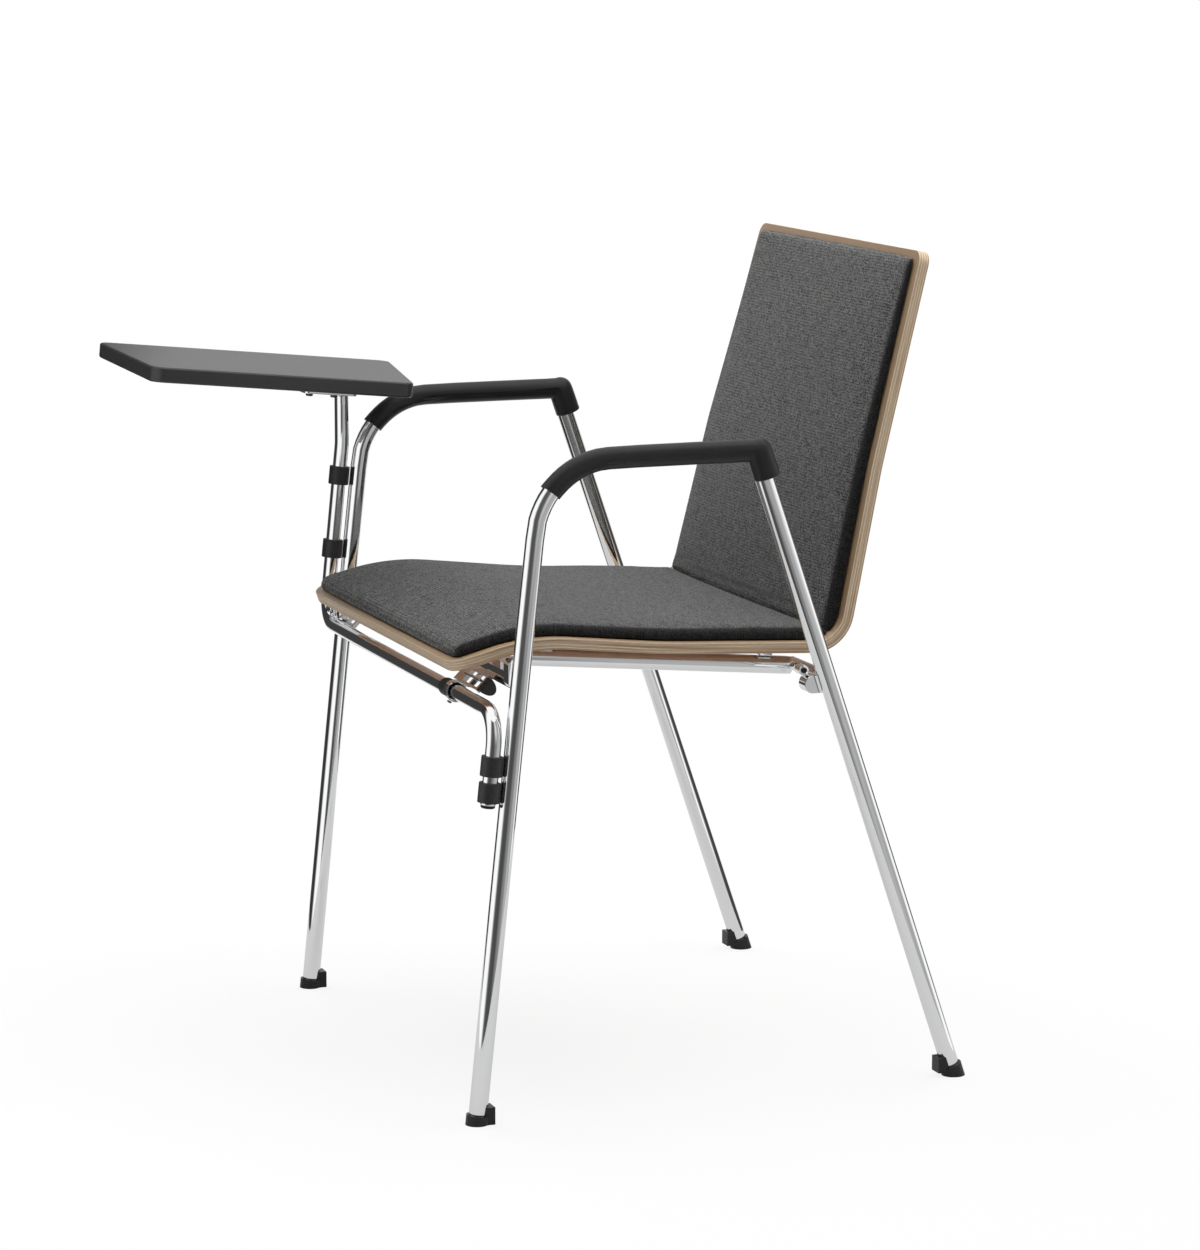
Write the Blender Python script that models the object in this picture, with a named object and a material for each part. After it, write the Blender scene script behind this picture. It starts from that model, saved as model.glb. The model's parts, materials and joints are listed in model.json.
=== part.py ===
"""Stacking conference armchair: padded plywood shell, tube frame and a swivelling writing tablet.

Metres, +Z up. The sitter faces -Y, and the tablet is on the sitter's right, at -X.
The pieces are laid out with the front feet on y = 0. At the end one root empty moves
the whole chair so that its bounding box stands centred over the origin.
"""

import math

import bmesh
import bpy
from mathutils import Matrix, Vector

# Fit between neighbouring pieces
CLEARANCE = 0.0003

# Side frames
TUBE_DIAMETER = 0.019
FRAME_WIDTH = 0.581
FOOT_SPREAD = 0.522
ARM_HEIGHT = 0.663
ARM_FRONT = 0.070
ARM_REAR = 0.2955
ARM_BEND_RADIUS = 0.082
TUBE_END_STAND_OFF = 0.013
LEG_END_STAND_OFF = 0.006

# Arm pads
ARM_PAD_DIAMETER = 0.0228
ARM_PAD_LEAD = 0.046
ARM_BLOCK_DIAMETER = 0.0275
ARM_BLOCK_SHIFT = 0.0036
ARM_BLOCK_DROP = 0.0275

# Glides under the feet
GLIDE_DIAMETER = 0.0238
GLIDE_SOLE = 0.003
FRONT_GLIDE_COLLAR = 0.0095
FRONT_LUG_REACH = 0.0165
FRONT_LUG_HEIGHT = 0.0178
REAR_GLIDE_COLLAR = 0.0115
REAR_LUG_REACH = 0.0205
REAR_LUG_HEIGHT = 0.021
REAR_LUG_STEP = 0.005
LUG_WIDTH = 0.017

# Plywood shell: corners of its underside, (back from the front feet, height)
SHELL_TIP = (-0.0045, 0.4478)
SHELL_NOSE = (0.014, 0.4542)
SHELL_CREST = (0.0754, 0.4697)
SHELL_DIP = (0.220, 0.4531)
SHELL_HEEL = (0.4229, 0.4408)
SHELL_LUMBAR = (0.4644, 0.630)
SHELL_TOP = (0.521, 0.846)
NOSE_RADIUS = 0.120
CREST_RADIUS = 0.220
DIP_RADIUS = 1.000
HEEL_RADIUS = 0.045
LUMBAR_RADIUS = 0.600
SHELL_THICKNESS = 0.0114
SHELL_FRAME_GAP = 0.0408
SHELL_TOP_WIDTH = 0.426
SHELL_FRONT_CORNER = 0.029
SHELL_TOP_CORNER = 0.013
SHELL_EDGE = 0.0012

# Seat and back pads
PAD_SIDE_INSET = 0.0138
PAD_END_INSET = 0.007
PAD_RIM = 0.0012
PAD_TUCK = 0.0008
PAD_SIDE_ROLL = 0.014
PAD_END_ROLL = 0.013
PAD_CREASE_ROLL = 0.003
PAD_FULLNESS = 2.2
PAD_CORNER_SHARE = 0.5
PAD_CREASE_CORNER = 0.003
SEAT_PAD_FRONT_RISE = 0.0105
SEAT_PAD_REAR_RISE = 0.0120
SEAT_PAD_CROWN = 0.003
SEAT_PAD_PEAK = 0.5
BACK_PAD_LOWER_RISE = 0.0120
BACK_PAD_UPPER_RISE = 0.0050
BACK_PAD_CROWN = 0.0105
BACK_PAD_PEAK = 0.25
CREASE_GAP = 0.0014
CREASE_BOW = 0.014
CREASE_BOW_REACH = 0.110

# Rails under the seat, set in from the side frames; the gaps are between rail and plywood
RAIL_SET_IN = 0.0905
RAIL_DIAMETER = 0.019
RAIL_FRONT_GAP = 0.00245
RAIL_REAR_GAP = 0.00816
CLIP_WIDTH = 0.014
CLIP_DEPTH = 0.014
CLIP_SET_IN = 0.022

# Front brackets; drops are measured from the rail's axis, the bar from the leg at the seat's crest
FRONT_LUG_DROP = 0.0022
FRONT_LUG_DEPTH = 0.0205
FRONT_LUG_TALL = 0.029
LUG_INNER_REACH = 0.0225
LUG_FACE_SET_BACK = 0.006
FRONT_LUG_CORNER = 0.006
BAR_AHEAD = 0.00309
BAR_DEPTH = 0.014
BAR_DROP = 0.0202
BAR_TALL = 0.0145
BAR_OVERHANG = 0.004
RAIL_BLOCK_DEPTH = 0.029
RAIL_BLOCK_WIDTH = 0.024

# Rear brackets; the drop is measured from the rail's axis, the arm from the leg beside the shell's heel
REAR_LUG_DROP = 0.0147
REAR_LUG_TALL = 0.0185
REAR_LUG_FORWARD = 0.0245
REAR_LUG_BACKWARD = 0.010
REAR_LUG_CORNER = 0.009
REAR_ARM_DIAMETER = 0.0145
REAR_ARM_BEHIND = 0.00859
BOSS_DIAMETER = 0.0105
BOSS_INWARD = 0.008
BOSS_OUTWARD = 0.004
BOSS_SET_IN = 0.004
PLUG_DIAMETER = 0.006
PLUG_THICKNESS = 0.002

# Tube that carries the tablet; its run under the seat is measured from the rail's axis, its end
# and the left rings from the run, and the stub from the tablet; the right rings lie at shares of
# the straight stretch between the run and the stub
TABLET_TUBE_DIAMETER = 0.016
TABLET_TUBE_BEND = 0.034
TABLET_RUN_DROP = 0.0387
TABLET_STUB_DROP = 0.093
TABLET_STUB_BEND_RADIUS = 0.100
TABLET_TUBE_END_DROP = 0.0911
RING_DIAMETER = 0.0225
RING_HEIGHT = 0.020
RIGHT_UPPER_RING_SHARE = 0.7853
RIGHT_LOWER_RING_SHARE = 0.2883
LEFT_UPPER_RING_DROP = 0.0525
LEFT_LOWER_RING_DROP = 0.0788
END_CAP_DIAMETER = 0.0148
END_CAP_THICKNESS = 0.003

# Holders that clip the tablet tube under the seat; their inner edges are set in from the side frames
LEFT_HOLDER_SET_IN = 0.1335
RIGHT_HOLDER_SET_IN = 0.0855
HOLDER_WIDTH = 0.053
HOLDER_WEB = 0.020
HOLDER_THICKNESS = 0.005
HOLDER_JOIN = 0.00494
HOLDER_RIB = 0.004
HOLDER_LOWER_BAR = 0.003
HOLDER_MIDDLE_BAR = 0.0025
HOLDER_UPPER_BAR = 0.0035
LOWER_WINDOW = 0.0065
HOOK_DIAMETER = 0.0222
HOOK_LENGTH = 0.009
LINER_DIAMETER = 0.0186
LINER_REACH = 0.0225
PIN_DIAMETER = 0.0036
BUFFER_ALONG = 0.0197
BUFFER_WIDTH = 0.0172
BUFFER_DEPTH = 0.014
BUFFER_LENGTH = 0.011
SCREW_DIAMETER = 0.005
SCREW_HEIGHT = 0.0022
SCREW_ANGLE = math.radians(240)

# Writing tablet; reaches are measured from the swivel axis in the plane of the board
TABLET_SLOPE = math.radians(5.7)
TABLET_OVER_ARM = 0.042
TABLET_THICKNESS = 0.016
TABLET_OUTER_REACH = 0.0245
TABLET_INNER_REACH = 0.248
TABLET_FRONT_OUTER = 0.268
TABLET_FRONT_INNER = 0.278
TABLET_REAR_OUTER = 0.063
TABLET_REAR_INNER = 0.0045
TABLET_CORNER = 0.014
TABLET_EDGE = 0.0015
SWIVEL_PLATE_THICKNESS = 0.003
SWIVEL_PLATE_WIDTH = 0.130
SWIVEL_PLATE_OUTER = 0.018
SWIVEL_PLATE_FRONT = 0.075
SWIVEL_PLATE_REAR = 0.018
PIVOT_DIAMETER = 0.028
PIVOT_HEIGHT = 0.014
BASE_PLATE_THICKNESS = 0.004
BASE_PLATE_WIDTH = 0.050
BASE_PLATE_FRONT = 0.046
BASE_PLATE_REAR = 0.015
PLATE_CORNER = 0.006
PLATE_EDGE = 0.0005
BOLT_DIAMETER = 0.008
BOLT_HEIGHT = 0.0028
BOLT_INSET = 0.008
BOLT_SPACING = 0.028

# How finely round shapes are drawn
SIDES = 24
TURN_STEP = math.radians(11)
SHELL_TURN_STEP = math.radians(8)
CORNER_STEP = math.radians(18)
SMOOTH_ANGLE = math.radians(35)
BUFFER_POINTS = 12

BACK = Vector((0, 1, 0))
LEFT = Vector((1, 0, 0))
SIDE_NAMES = {1: "left", -1: "right"}


for leftover in list(bpy.data.objects):
    bpy.data.objects.remove(leftover)


def finish(name, colour, roughness, metallic):
    """A plain material with one colour and one sheen."""
    made = bpy.data.materials.new(name)
    made.use_nodes = True
    surface = made.node_tree.nodes["Principled BSDF"]
    surface.inputs["Base Color"].default_value = (*colour, 1)
    surface.inputs["Roughness"].default_value = roughness
    surface.inputs["Metallic"].default_value = metallic
    return made


CHROME = finish("chrome", (0.80, 0.81, 0.82), 0.08, 1.0)
PLYWOOD = finish("plywood", (0.56, 0.41, 0.28), 0.45, 0.0)
WEAVE = finish("charcoal_weave", (0.040, 0.041, 0.045), 0.95, 0.0)
BLACK_PLASTIC = finish("black_plastic", (0.022, 0.022, 0.023), 0.42, 0.0)
RUBBER = finish("black_rubber", (0.018, 0.018, 0.018), 0.70, 0.0)
BOARD = finish("anthracite_board", (0.075, 0.077, 0.080), 0.50, 0.0)
STEEL = finish("dark_steel", (0.10, 0.10, 0.10), 0.40, 1.0)


def solid(name, vertices, faces, look, origin):
    """One closed mesh with outward faces, its own origin at the given point."""
    mesh = bpy.data.meshes.new(name)
    mesh.from_pydata([vertex - origin for vertex in vertices], [], faces)
    shape = bmesh.new()
    shape.from_mesh(mesh)
    bmesh.ops.recalc_face_normals(shape, faces=shape.faces)
    shape.to_mesh(mesh)
    shape.free()
    mesh.materials.append(look)
    mesh.shade_smooth()
    mesh.set_sharp_from_angle(angle=SMOOTH_ANGLE)
    piece = bpy.data.objects.new(name, mesh)
    piece.location = origin
    bpy.context.scene.collection.objects.link(piece)
    return piece


def loft(name, sections, look, origin, ring=False):
    """A skin over outlines with the same even number of points, capped unless it closes into a ring."""
    count = len(sections[0])
    vertices = [point for section in sections for point in section]
    faces = []
    for i in range(len(sections) if ring else len(sections) - 1):
        here = i * count
        there = (i + 1) % len(sections) * count
        for k in range(count):
            after = (k + 1) % count
            faces.append((here + k, here + after, there + after, there + k))
    if not ring:
        for start in (0, len(vertices) - count):
            for k in range(count // 2 - 1):
                far = start + count - 1 - k
                faces.append((start + k, start + k + 1, far - 1, far))
    return solid(name, vertices, faces, look, origin)


def combine(piece, tool, operation):
    """Joins a tool to a piece or cuts it away; the tool itself isn't part of the chair."""
    step = piece.modifiers.new(tool.name, "BOOLEAN")
    step.operation = operation
    step.object = tool
    step.solver = "EXACT"
    tool.hide_render = True
    tool.display_type = "WIRE"


def circle(centre, axis, radius):
    """Points round an axis."""
    across = axis.orthogonal().normalized()
    upward = axis.normalized().cross(across)
    turns = [2 * math.pi * k / SIDES for k in range(SIDES)]
    return [centre + (across * math.cos(t) + upward * math.sin(t)) * radius for t in turns]


def turned(name, base, axis, profile, look, hollow=False):
    """A lathe-turned piece; the profile lists (distance along the axis, radius)."""
    sections = [circle(base + axis * along, axis, radius) for along, radius in profile]
    return loft(name, sections, look, base, ring=hollow)


def sleeve(name, centre, axis, inner, outer, length, look):
    """A plain ring of one length round an axis."""
    half = length / 2
    profile = [(-half, inner), (-half, outer), (half, outer), (half, inner)]
    return turned(name, centre, axis, profile, look, hollow=True)


def arc(before, corner, after, radius, step):
    """Points and directions round one corner with the given radius."""
    into = (corner - before).normalized()
    out = (after - corner).normalized()
    turn = into.angle(out)
    axis = into.cross(out).normalized()
    start = corner - into * radius * math.tan(turn / 2)
    centre = start + axis.cross(into) * radius
    count = max(2, math.ceil(turn / step))
    stations = []
    for i in range(count + 1):
        spin = Matrix.Rotation(turn * i / count, 3, axis)
        stations.append((centre + spin @ (start - centre), spin @ into))
    return stations


def bent_line(corners, radii, step):
    """Points and directions along a line whose inner corners are rounded."""
    stations = [(corners[0], (corners[1] - corners[0]).normalized())]
    for before, corner, after, radius in zip(corners, corners[1:], corners[2:], radii):
        stations.extend(arc(before, corner, after, radius, step))
    stations.append((corners[-1], (corners[-1] - corners[-2]).normalized()))
    return stations


def swept(name, stations, radius, look):
    """A round bar along a line, without twist."""
    heading = stations[0][1]
    across = heading.orthogonal().normalized()
    sections = []
    for centre, direction in stations:
        across = heading.rotation_difference(direction) @ across
        heading = direction
        upward = heading.cross(across)
        turns = [2 * math.pi * k / SIDES for k in range(SIDES)]
        sections.append([centre + (across * math.cos(t) + upward * math.sin(t)) * radius for t in turns])
    return loft(name, sections, look, stations[0][0])


def outline(corners, radius, inset, normal):
    """A closed outline, counter-clockwise about the normal, drawn in by an inset, with rounded corners."""
    count = len(corners)
    moved = []
    for i, corner in enumerate(corners):
        into = (corner - corners[i - 1]).normalized()
        out = (corners[(i + 1) % count] - corner).normalized()
        first = normal.cross(into)
        second = normal.cross(out)
        moved.append(corner + (first + second) * inset / (1 + first.dot(second)))
    points = []
    for i, corner in enumerate(moved):
        rounded = arc(moved[i - 1], corner, moved[(i + 1) % count], radius - inset, CORNER_STEP)
        points.extend(point for point, direction in rounded)
    return points


def plate(name, corners, radius, normal, thickness, look, edge=PLATE_EDGE):
    """A flat plate standing on its outline along the normal, with chamfered edges."""
    levels = [(0, edge), (edge, 0), (thickness - edge, 0), (thickness, edge)]
    sections = []
    for height, inset in levels:
        sections.append([point + normal * height for point in outline(corners, radius, inset, normal)])
    return loft(name, sections, look, corners[0])


def box(name, low, high, look):
    """A block between two opposite corners."""
    floor = [(low.x, low.y), (high.x, low.y), (high.x, high.y), (low.x, high.y)]
    sections = [[Vector((x, y, z)) for x, y in floor] for z in (low.z, high.z)]
    return loft(name, sections, look, low)


def mirrored(side, near, far, y_low, y_high, z_low, z_high):
    """Low and high corners of a block that spans two distances from the middle plane."""
    reach = sorted((side * near, side * far))
    return Vector((reach[0], y_low, z_low)), Vector((reach[1], y_high, z_high))


# Lines of the frame, in the plane of one side

TUBE_RADIUS = TUBE_DIAMETER / 2
SOCKET_RADIUS = TUBE_RADIUS + CLEARANCE
FRONT_LEG = Vector((0, ARM_FRONT, ARM_HEIGHT)).normalized()
REAR_LEG = Vector((0, ARM_REAR - FOOT_SPREAD, ARM_HEIGHT)).normalized()


def in_frame(side, y, z):
    """A point in the plane of the left or right side frame."""
    return Vector((side * FRAME_WIDTH / 2, y, z))


def front_leg_at(side, z):
    """The axis of a front leg at a height."""
    return in_frame(side, ARM_FRONT * z / ARM_HEIGHT, z)


def rear_leg_at(side, z):
    """The axis of a rear leg at a height."""
    return in_frame(side, FOOT_SPREAD + (ARM_REAR - FOOT_SPREAD) * z / ARM_HEIGHT, z)


def socket_floor(slope):
    """Height of a leg's lower end on its axis, so that its lowest edge clears the sole."""
    return GLIDE_SOLE + CLEARANCE + TUBE_RADIUS * math.hypot(slope.x, slope.y) + CLEARANCE


def front_corner(side):
    return in_frame(side, ARM_FRONT, ARM_HEIGHT)


def rear_corner(side):
    return in_frame(side, ARM_REAR, ARM_HEIGHT)


def make_legs(side):
    """The front tube, which bends into the arm, and the rear leg."""
    name = SIDE_NAMES[side]
    foot = front_leg_at(side, socket_floor(FRONT_LEG))
    arm_end = rear_corner(side) - BACK * TUBE_END_STAND_OFF
    line = bent_line([foot, front_corner(side), arm_end], [ARM_BEND_RADIUS], TURN_STEP)
    swept(name + "_front_leg", line, TUBE_RADIUS, CHROME)
    heel = rear_leg_at(side, socket_floor(REAR_LEG))
    straight = [(heel, REAR_LEG), (rear_corner(side) - REAR_LEG * LEG_END_STAND_OFF, REAR_LEG)]
    swept(name + "_rear_leg", straight, TUBE_RADIUS, CHROME)


def make_arm_pad(side):
    """A sleeve over the arm with a block over the top of the rear leg."""
    name = SIDE_NAMES[side]
    corner = rear_corner(side)
    foot = front_leg_at(side, 0)
    full = bent_line([foot, front_corner(side), corner], [ARM_BEND_RADIUS], TURN_STEP)
    bend = full[1:-1]
    lead = min(len(bend) - 2, round(ARM_PAD_LEAD / (ARM_BEND_RADIUS * bend[0][1].angle(bend[1][1]))))
    pad = swept(name + "_arm_pad", bend[lead:] + full[-1:], ARM_PAD_DIAMETER / 2, BLACK_PLASTIC)
    radius = ARM_BLOCK_DIAMETER / 2
    backward = LEFT.cross(REAR_LEG) * -1
    centre = corner + backward * ARM_BLOCK_SHIFT - REAR_LEG * (ARM_BLOCK_DIAMETER - ARM_PAD_DIAMETER) / 2
    turns = [math.radians(a) for a in (0, 22, 44, 64, 82)]
    dome = [(-radius * math.sin(t), radius * math.cos(t)) for t in reversed(turns)]
    profile = dome + [(ARM_BLOCK_DROP - PAD_TUCK, radius), (ARM_BLOCK_DROP, radius - PAD_TUCK)]
    block = turned(name + "_arm_block", centre, -REAR_LEG, profile, BLACK_PLASTIC)
    combine(pad, block, "UNION")
    arm_end = corner - BACK * (TUBE_END_STAND_OFF - CLEARANCE)
    arm_line = bent_line([foot, front_corner(side), arm_end], [ARM_BEND_RADIUS], TURN_STEP)
    arm_bore = swept(name + "_arm_bore", arm_line, SOCKET_RADIUS, CHROME)
    combine(pad, arm_bore, "DIFFERENCE")
    top = corner - REAR_LEG * (LEG_END_STAND_OFF - CLEARANCE)
    leg_bore = swept(name + "_block_bore", [(rear_leg_at(side, ARM_HEIGHT / 2), REAR_LEG), (top, REAR_LEG)],
                     SOCKET_RADIUS, CHROME)
    combine(pad, leg_bore, "DIFFERENCE")


def make_glide(name, foot, leg, collar, lug_low, lug_high):
    """A shoe snapped over a leg's end: a collar square to the leg, a flat sole and a lug."""
    radius = GLIDE_DIAMETER / 2
    rim = circle(foot + leg * (collar / leg.z), leg, radius)
    sole = [point - leg * (point.z / leg.z) for point in rim]
    shoe = loft(name, [sole, rim], BLACK_PLASTIC, foot)
    lug = box(name + "_lug", lug_low, lug_high, BLACK_PLASTIC)
    combine(shoe, lug, "UNION")
    bottom = foot + leg * ((socket_floor(leg) - CLEARANCE) / leg.z)
    bore = swept(name + "_bore", [(bottom, leg), (foot + leg * (ARM_HEIGHT / 2), leg)], SOCKET_RADIUS, CHROME)
    combine(shoe, bore, "DIFFERENCE")


def make_glides(side):
    """The front shoe, with its lug behind the leg, and the rear one, with a stepped lug before it."""
    name = SIDE_NAMES[side]
    half = LUG_WIDTH / 2
    middle = FRAME_WIDTH / 2
    low, high = mirrored(side, middle - half, middle + half, TUBE_RADIUS / 2, FRONT_LUG_REACH, 0, FRONT_LUG_HEIGHT)
    make_glide(name + "_front_glide", front_leg_at(side, 0), FRONT_LEG, FRONT_GLIDE_COLLAR, low, high)
    low, high = mirrored(side, middle - half, middle + half, FOOT_SPREAD - REAR_LUG_REACH,
                         FOOT_SPREAD - TUBE_RADIUS / 2, REAR_LUG_STEP, REAR_LUG_HEIGHT)
    make_glide(name + "_rear_glide", rear_leg_at(side, 0), REAR_LEG, REAR_GLIDE_COLLAR, low, high)


# The developed line of the plywood: distance, underside point, direction towards the sitter

def shell_line():
    """Stations along the underside from the front tip to the top of the back."""
    turns = (SHELL_TIP, SHELL_NOSE, SHELL_CREST, SHELL_DIP, SHELL_HEEL, SHELL_LUMBAR, SHELL_TOP)
    corners = [Vector((0, y, z)) for y, z in turns]
    radii = [NOSE_RADIUS, CREST_RADIUS, DIP_RADIUS, HEEL_RADIUS, LUMBAR_RADIUS]
    stations = bent_line(corners, radii, SHELL_TURN_STEP)
    line = []
    distance = 0
    for i, (point, heading) in enumerate(stations):
        if i:
            distance += (point - stations[i - 1][0]).length
        line.append((distance, point, LEFT.cross(heading)))
    return line


SHELL_FRONT_WIDTH = FRAME_WIDTH - 2 * SHELL_FRAME_GAP
SHELL_LINE = shell_line()
SHELL_LENGTH = SHELL_LINE[-1][0]


def on_shell(distance, height):
    """A point above the underside, at a distance along the developed line."""
    for before, after in zip(SHELL_LINE, SHELL_LINE[1:]):
        if distance <= after[0]:
            break
    span = max(after[0] - before[0], CLEARANCE)
    share = (distance - before[0]) / span
    point = before[1].lerp(after[1], share)
    outward = before[2].lerp(after[2], share).normalized()
    return point + outward * height


def underside(y):
    """Height of the seat's underside."""
    for before, after in zip(SHELL_LINE, SHELL_LINE[1:]):
        if y <= after[1].y:
            break
    share = (y - before[1].y) / (after[1].y - before[1].y)
    return before[1].lerp(after[1], share).z


def shell_half_width(distance):
    """Half width of the flat blank, before its corners are rounded."""
    return (SHELL_FRONT_WIDTH + (SHELL_TOP_WIDTH - SHELL_FRONT_WIDTH) * distance / SHELL_LENGTH) / 2


def corner_loss(gap, radius):
    """How far a rounded corner draws in a side at a distance from the end."""
    if gap >= radius:
        return 0
    return radius - math.sqrt(radius ** 2 - (radius - gap) ** 2)


def corner_gaps(radius):
    """Distances from an end that draw its rounded corners."""
    return [radius * (1 - math.cos(math.radians(a))) for a in (0, 18, 36, 54, 72, 90)]


def spaced(marks, gap):
    """Marks in order along a line, without those that lie too near an earlier one in the list."""
    kept = []
    for mark in marks:
        if all(abs(mark - other) > gap for other in kept):
            kept.append(mark)
    return sorted(kept)


def make_shell():
    """The bent plywood, one piece from the front of the seat to the top of the back."""
    marks = [d for d, point, outward in SHELL_LINE]
    marks += corner_gaps(SHELL_FRONT_CORNER)
    marks += [SHELL_LENGTH - gap for gap in corner_gaps(SHELL_TOP_CORNER)]
    sections = []
    for distance in spaced(marks, CLEARANCE):
        half = shell_half_width(distance)
        half -= corner_loss(distance, SHELL_FRONT_CORNER)
        half -= corner_loss(SHELL_LENGTH - distance, SHELL_TOP_CORNER)
        right = [(-half + SHELL_EDGE, 0), (-half, SHELL_EDGE), (-half, SHELL_THICKNESS - SHELL_EDGE),
                 (-half + SHELL_EDGE, SHELL_THICKNESS)]
        left = [(-x, height) for x, height in reversed(right)]
        sections.append([on_shell(distance, height) + LEFT * x for x, height in right + left])
    loft("plywood_shell", sections, PLYWOOD, Vector((0, SHELL_HEEL[0], SHELL_HEEL[1])))


def heel_ends():
    """Where the bend between seat and back starts and ends."""
    bend = [d for d, point, outward in SHELL_LINE if (point - heel_centre()).length < HEEL_RADIUS * 1.01]
    return bend[0], bend[-1]


def heel_centre():
    """The centre of the bend between seat and back."""
    corners = [Vector((0, y, z)) for y, z in (SHELL_DIP, SHELL_HEEL, SHELL_LUMBAR)]
    start, heading = arc(*corners, HEEL_RADIUS, SHELL_TURN_STEP)[0]
    return start + LEFT.cross(heading) * HEEL_RADIUS


HEEL_START, HEEL_END = heel_ends()
CREASE = (HEEL_START + HEEL_END) / 2


def swell(gap, roll):
    """A rise from 0 at an edge to 1 past the roll's width, upright at the edge and level at the end."""
    left = max(0, 1 - gap / roll)
    return (1 - left ** PAD_FULLNESS) ** (1 / PAD_FULLNESS)


def roll_marks(roll):
    """Distances from an edge that draw its roll."""
    return [roll * share for share in (0, 0.08, 0.25, 0.55, 1)]


def straightened(distance, shift, height):
    """The share of a pad's height left in the heel, where its face runs straight on as the plywood turns."""
    into = distance - shift - HEEL_START if distance < CREASE else HEEL_END - distance + shift
    inner = HEEL_RADIUS - SHELL_THICKNESS
    return (inner - (inner - height) / math.cos(max(0, into) / HEEL_RADIUS)) / height


def pad_marks(first, last, rolls, corners):
    """Distances along the shell that follow every bend of the plywood and draw a pad's rolls and corners."""
    marks = [first, last]
    marks += [d for d, point, outward in SHELL_LINE if first < d < last]
    marks += [first + gap for gap in roll_marks(rolls[0]) + corner_gaps(corners[0])]
    marks += [last - gap for gap in roll_marks(rolls[1]) + corner_gaps(corners[1])]
    marks += [first + rolls[0] + (last - first - sum(rolls)) * i / 8 for i in range(1, 8)]
    return spaced(marks, SHELL_THICKNESS / 6)


def make_pad(name, first, last, rolls, corners, rises, crown, peak):
    """A foam pad under cloth: thin rim, rolled edges, drawn-in sides and a middle crowned most at its peak."""
    length = last - first
    bottom = SHELL_THICKNESS + CLEARANCE
    sections = []
    for distance in pad_marks(first, last, rolls, corners):
        from_first = distance - first
        from_last = last - distance
        share_along = from_first / length
        half = shell_half_width(distance) - PAD_SIDE_INSET
        half -= corner_loss(from_first, corners[0]) + corner_loss(from_last, corners[1])
        ends = swell(from_first, rolls[0]) * swell(from_last, rolls[1])
        rise = rises[0] + (rises[1] - rises[0]) * share_along
        along = 1 - ((share_along - peak) / max(peak, 1 - peak)) ** 2
        near_crease = max(0, 1 - abs(distance - CREASE) / CREASE_BOW_REACH) ** 2
        gaps = roll_marks(PAD_SIDE_ROLL) + [PAD_SIDE_ROLL + (half - PAD_SIDE_ROLL) * k / 3 for k in (1, 2)]
        top = []
        for gap in gaps + [half]:
            share = 1 - ((half - gap) / half) ** 2
            bulge = crown * along * share
            height = PAD_RIM + rise * ends * swell(gap, PAD_SIDE_ROLL) + bulge
            height *= straightened(distance, CREASE_BOW * near_crease * share, PAD_RIM + rise + bulge)
            top.append((-half + gap, height))
        over = top + [(-x, height) for x, height in reversed(top[:-1])]
        floor = half - PAD_TUCK
        under = [(floor - 2 * floor * k / (len(over) - 1), 0) for k in range(len(over))]
        section = []
        for x, height in over + under:
            shift = CREASE_BOW * near_crease * (1 - (x / half) ** 2)
            section.append(on_shell(distance - shift, bottom + height) + LEFT * x)
        sections.append(section)
    loft(name, sections, WEAVE, on_shell((first + last) / 2, bottom))


def make_pads():
    make_pad("seat_pad", PAD_END_INSET, CREASE - CREASE_GAP / 2, (PAD_END_ROLL, PAD_CREASE_ROLL),
             (SHELL_FRONT_CORNER * PAD_CORNER_SHARE, PAD_CREASE_CORNER), (SEAT_PAD_FRONT_RISE, SEAT_PAD_REAR_RISE),
             SEAT_PAD_CROWN, SEAT_PAD_PEAK)
    make_pad("back_pad", CREASE + CREASE_GAP / 2, SHELL_LENGTH - PAD_END_INSET, (PAD_CREASE_ROLL, PAD_END_ROLL),
             (PAD_CREASE_CORNER, SHELL_TOP_CORNER * PAD_CORNER_SHARE), (BACK_PAD_LOWER_RISE, BACK_PAD_UPPER_RISE),
             BACK_PAD_CROWN, BACK_PAD_PEAK)


# Rails and brackets under the seat

RAIL_RADIUS = RAIL_DIAMETER / 2
RAIL_SPACING = FRAME_WIDTH - 2 * RAIL_SET_IN
BAR_FRONT = front_leg_at(1, SHELL_CREST[1]).y - BAR_AHEAD
RAIL_BLOCK_BACK = BAR_FRONT + RAIL_BLOCK_DEPTH
REAR_ARM_BACK = rear_leg_at(1, SHELL_HEEL[1]).y + REAR_ARM_BEHIND
RAIL_BACK = REAR_ARM_BACK - REAR_ARM_DIAMETER / 2 - CLEARANCE
RAIL_FRONT_HEIGHT = underside(RAIL_BLOCK_BACK) - RAIL_RADIUS - RAIL_FRONT_GAP
RAIL_REAR_HEIGHT = underside(RAIL_BACK) - RAIL_RADIUS - RAIL_REAR_GAP
RAIL_SLOPE = (RAIL_REAR_HEIGHT - RAIL_FRONT_HEIGHT) / (RAIL_BACK - RAIL_BLOCK_BACK)
RAIL_FRONT = RAIL_BLOCK_BACK + RAIL_RADIUS * abs(RAIL_SLOPE) + CLEARANCE
RAIL_LINE = Vector((0, 1, RAIL_SLOPE)).normalized()
LUG_INNER = FRAME_WIDTH / 2 - LUG_INNER_REACH
FRONT_LUG_CENTRE_HEIGHT = RAIL_FRONT_HEIGHT - FRONT_LUG_DROP
BAR_BOTTOM = RAIL_FRONT_HEIGHT - BAR_DROP
REAR_LUG_BOTTOM = RAIL_REAR_HEIGHT - REAR_LUG_DROP
REAR_LUG_TOP = REAR_LUG_BOTTOM + REAR_LUG_TALL


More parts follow.
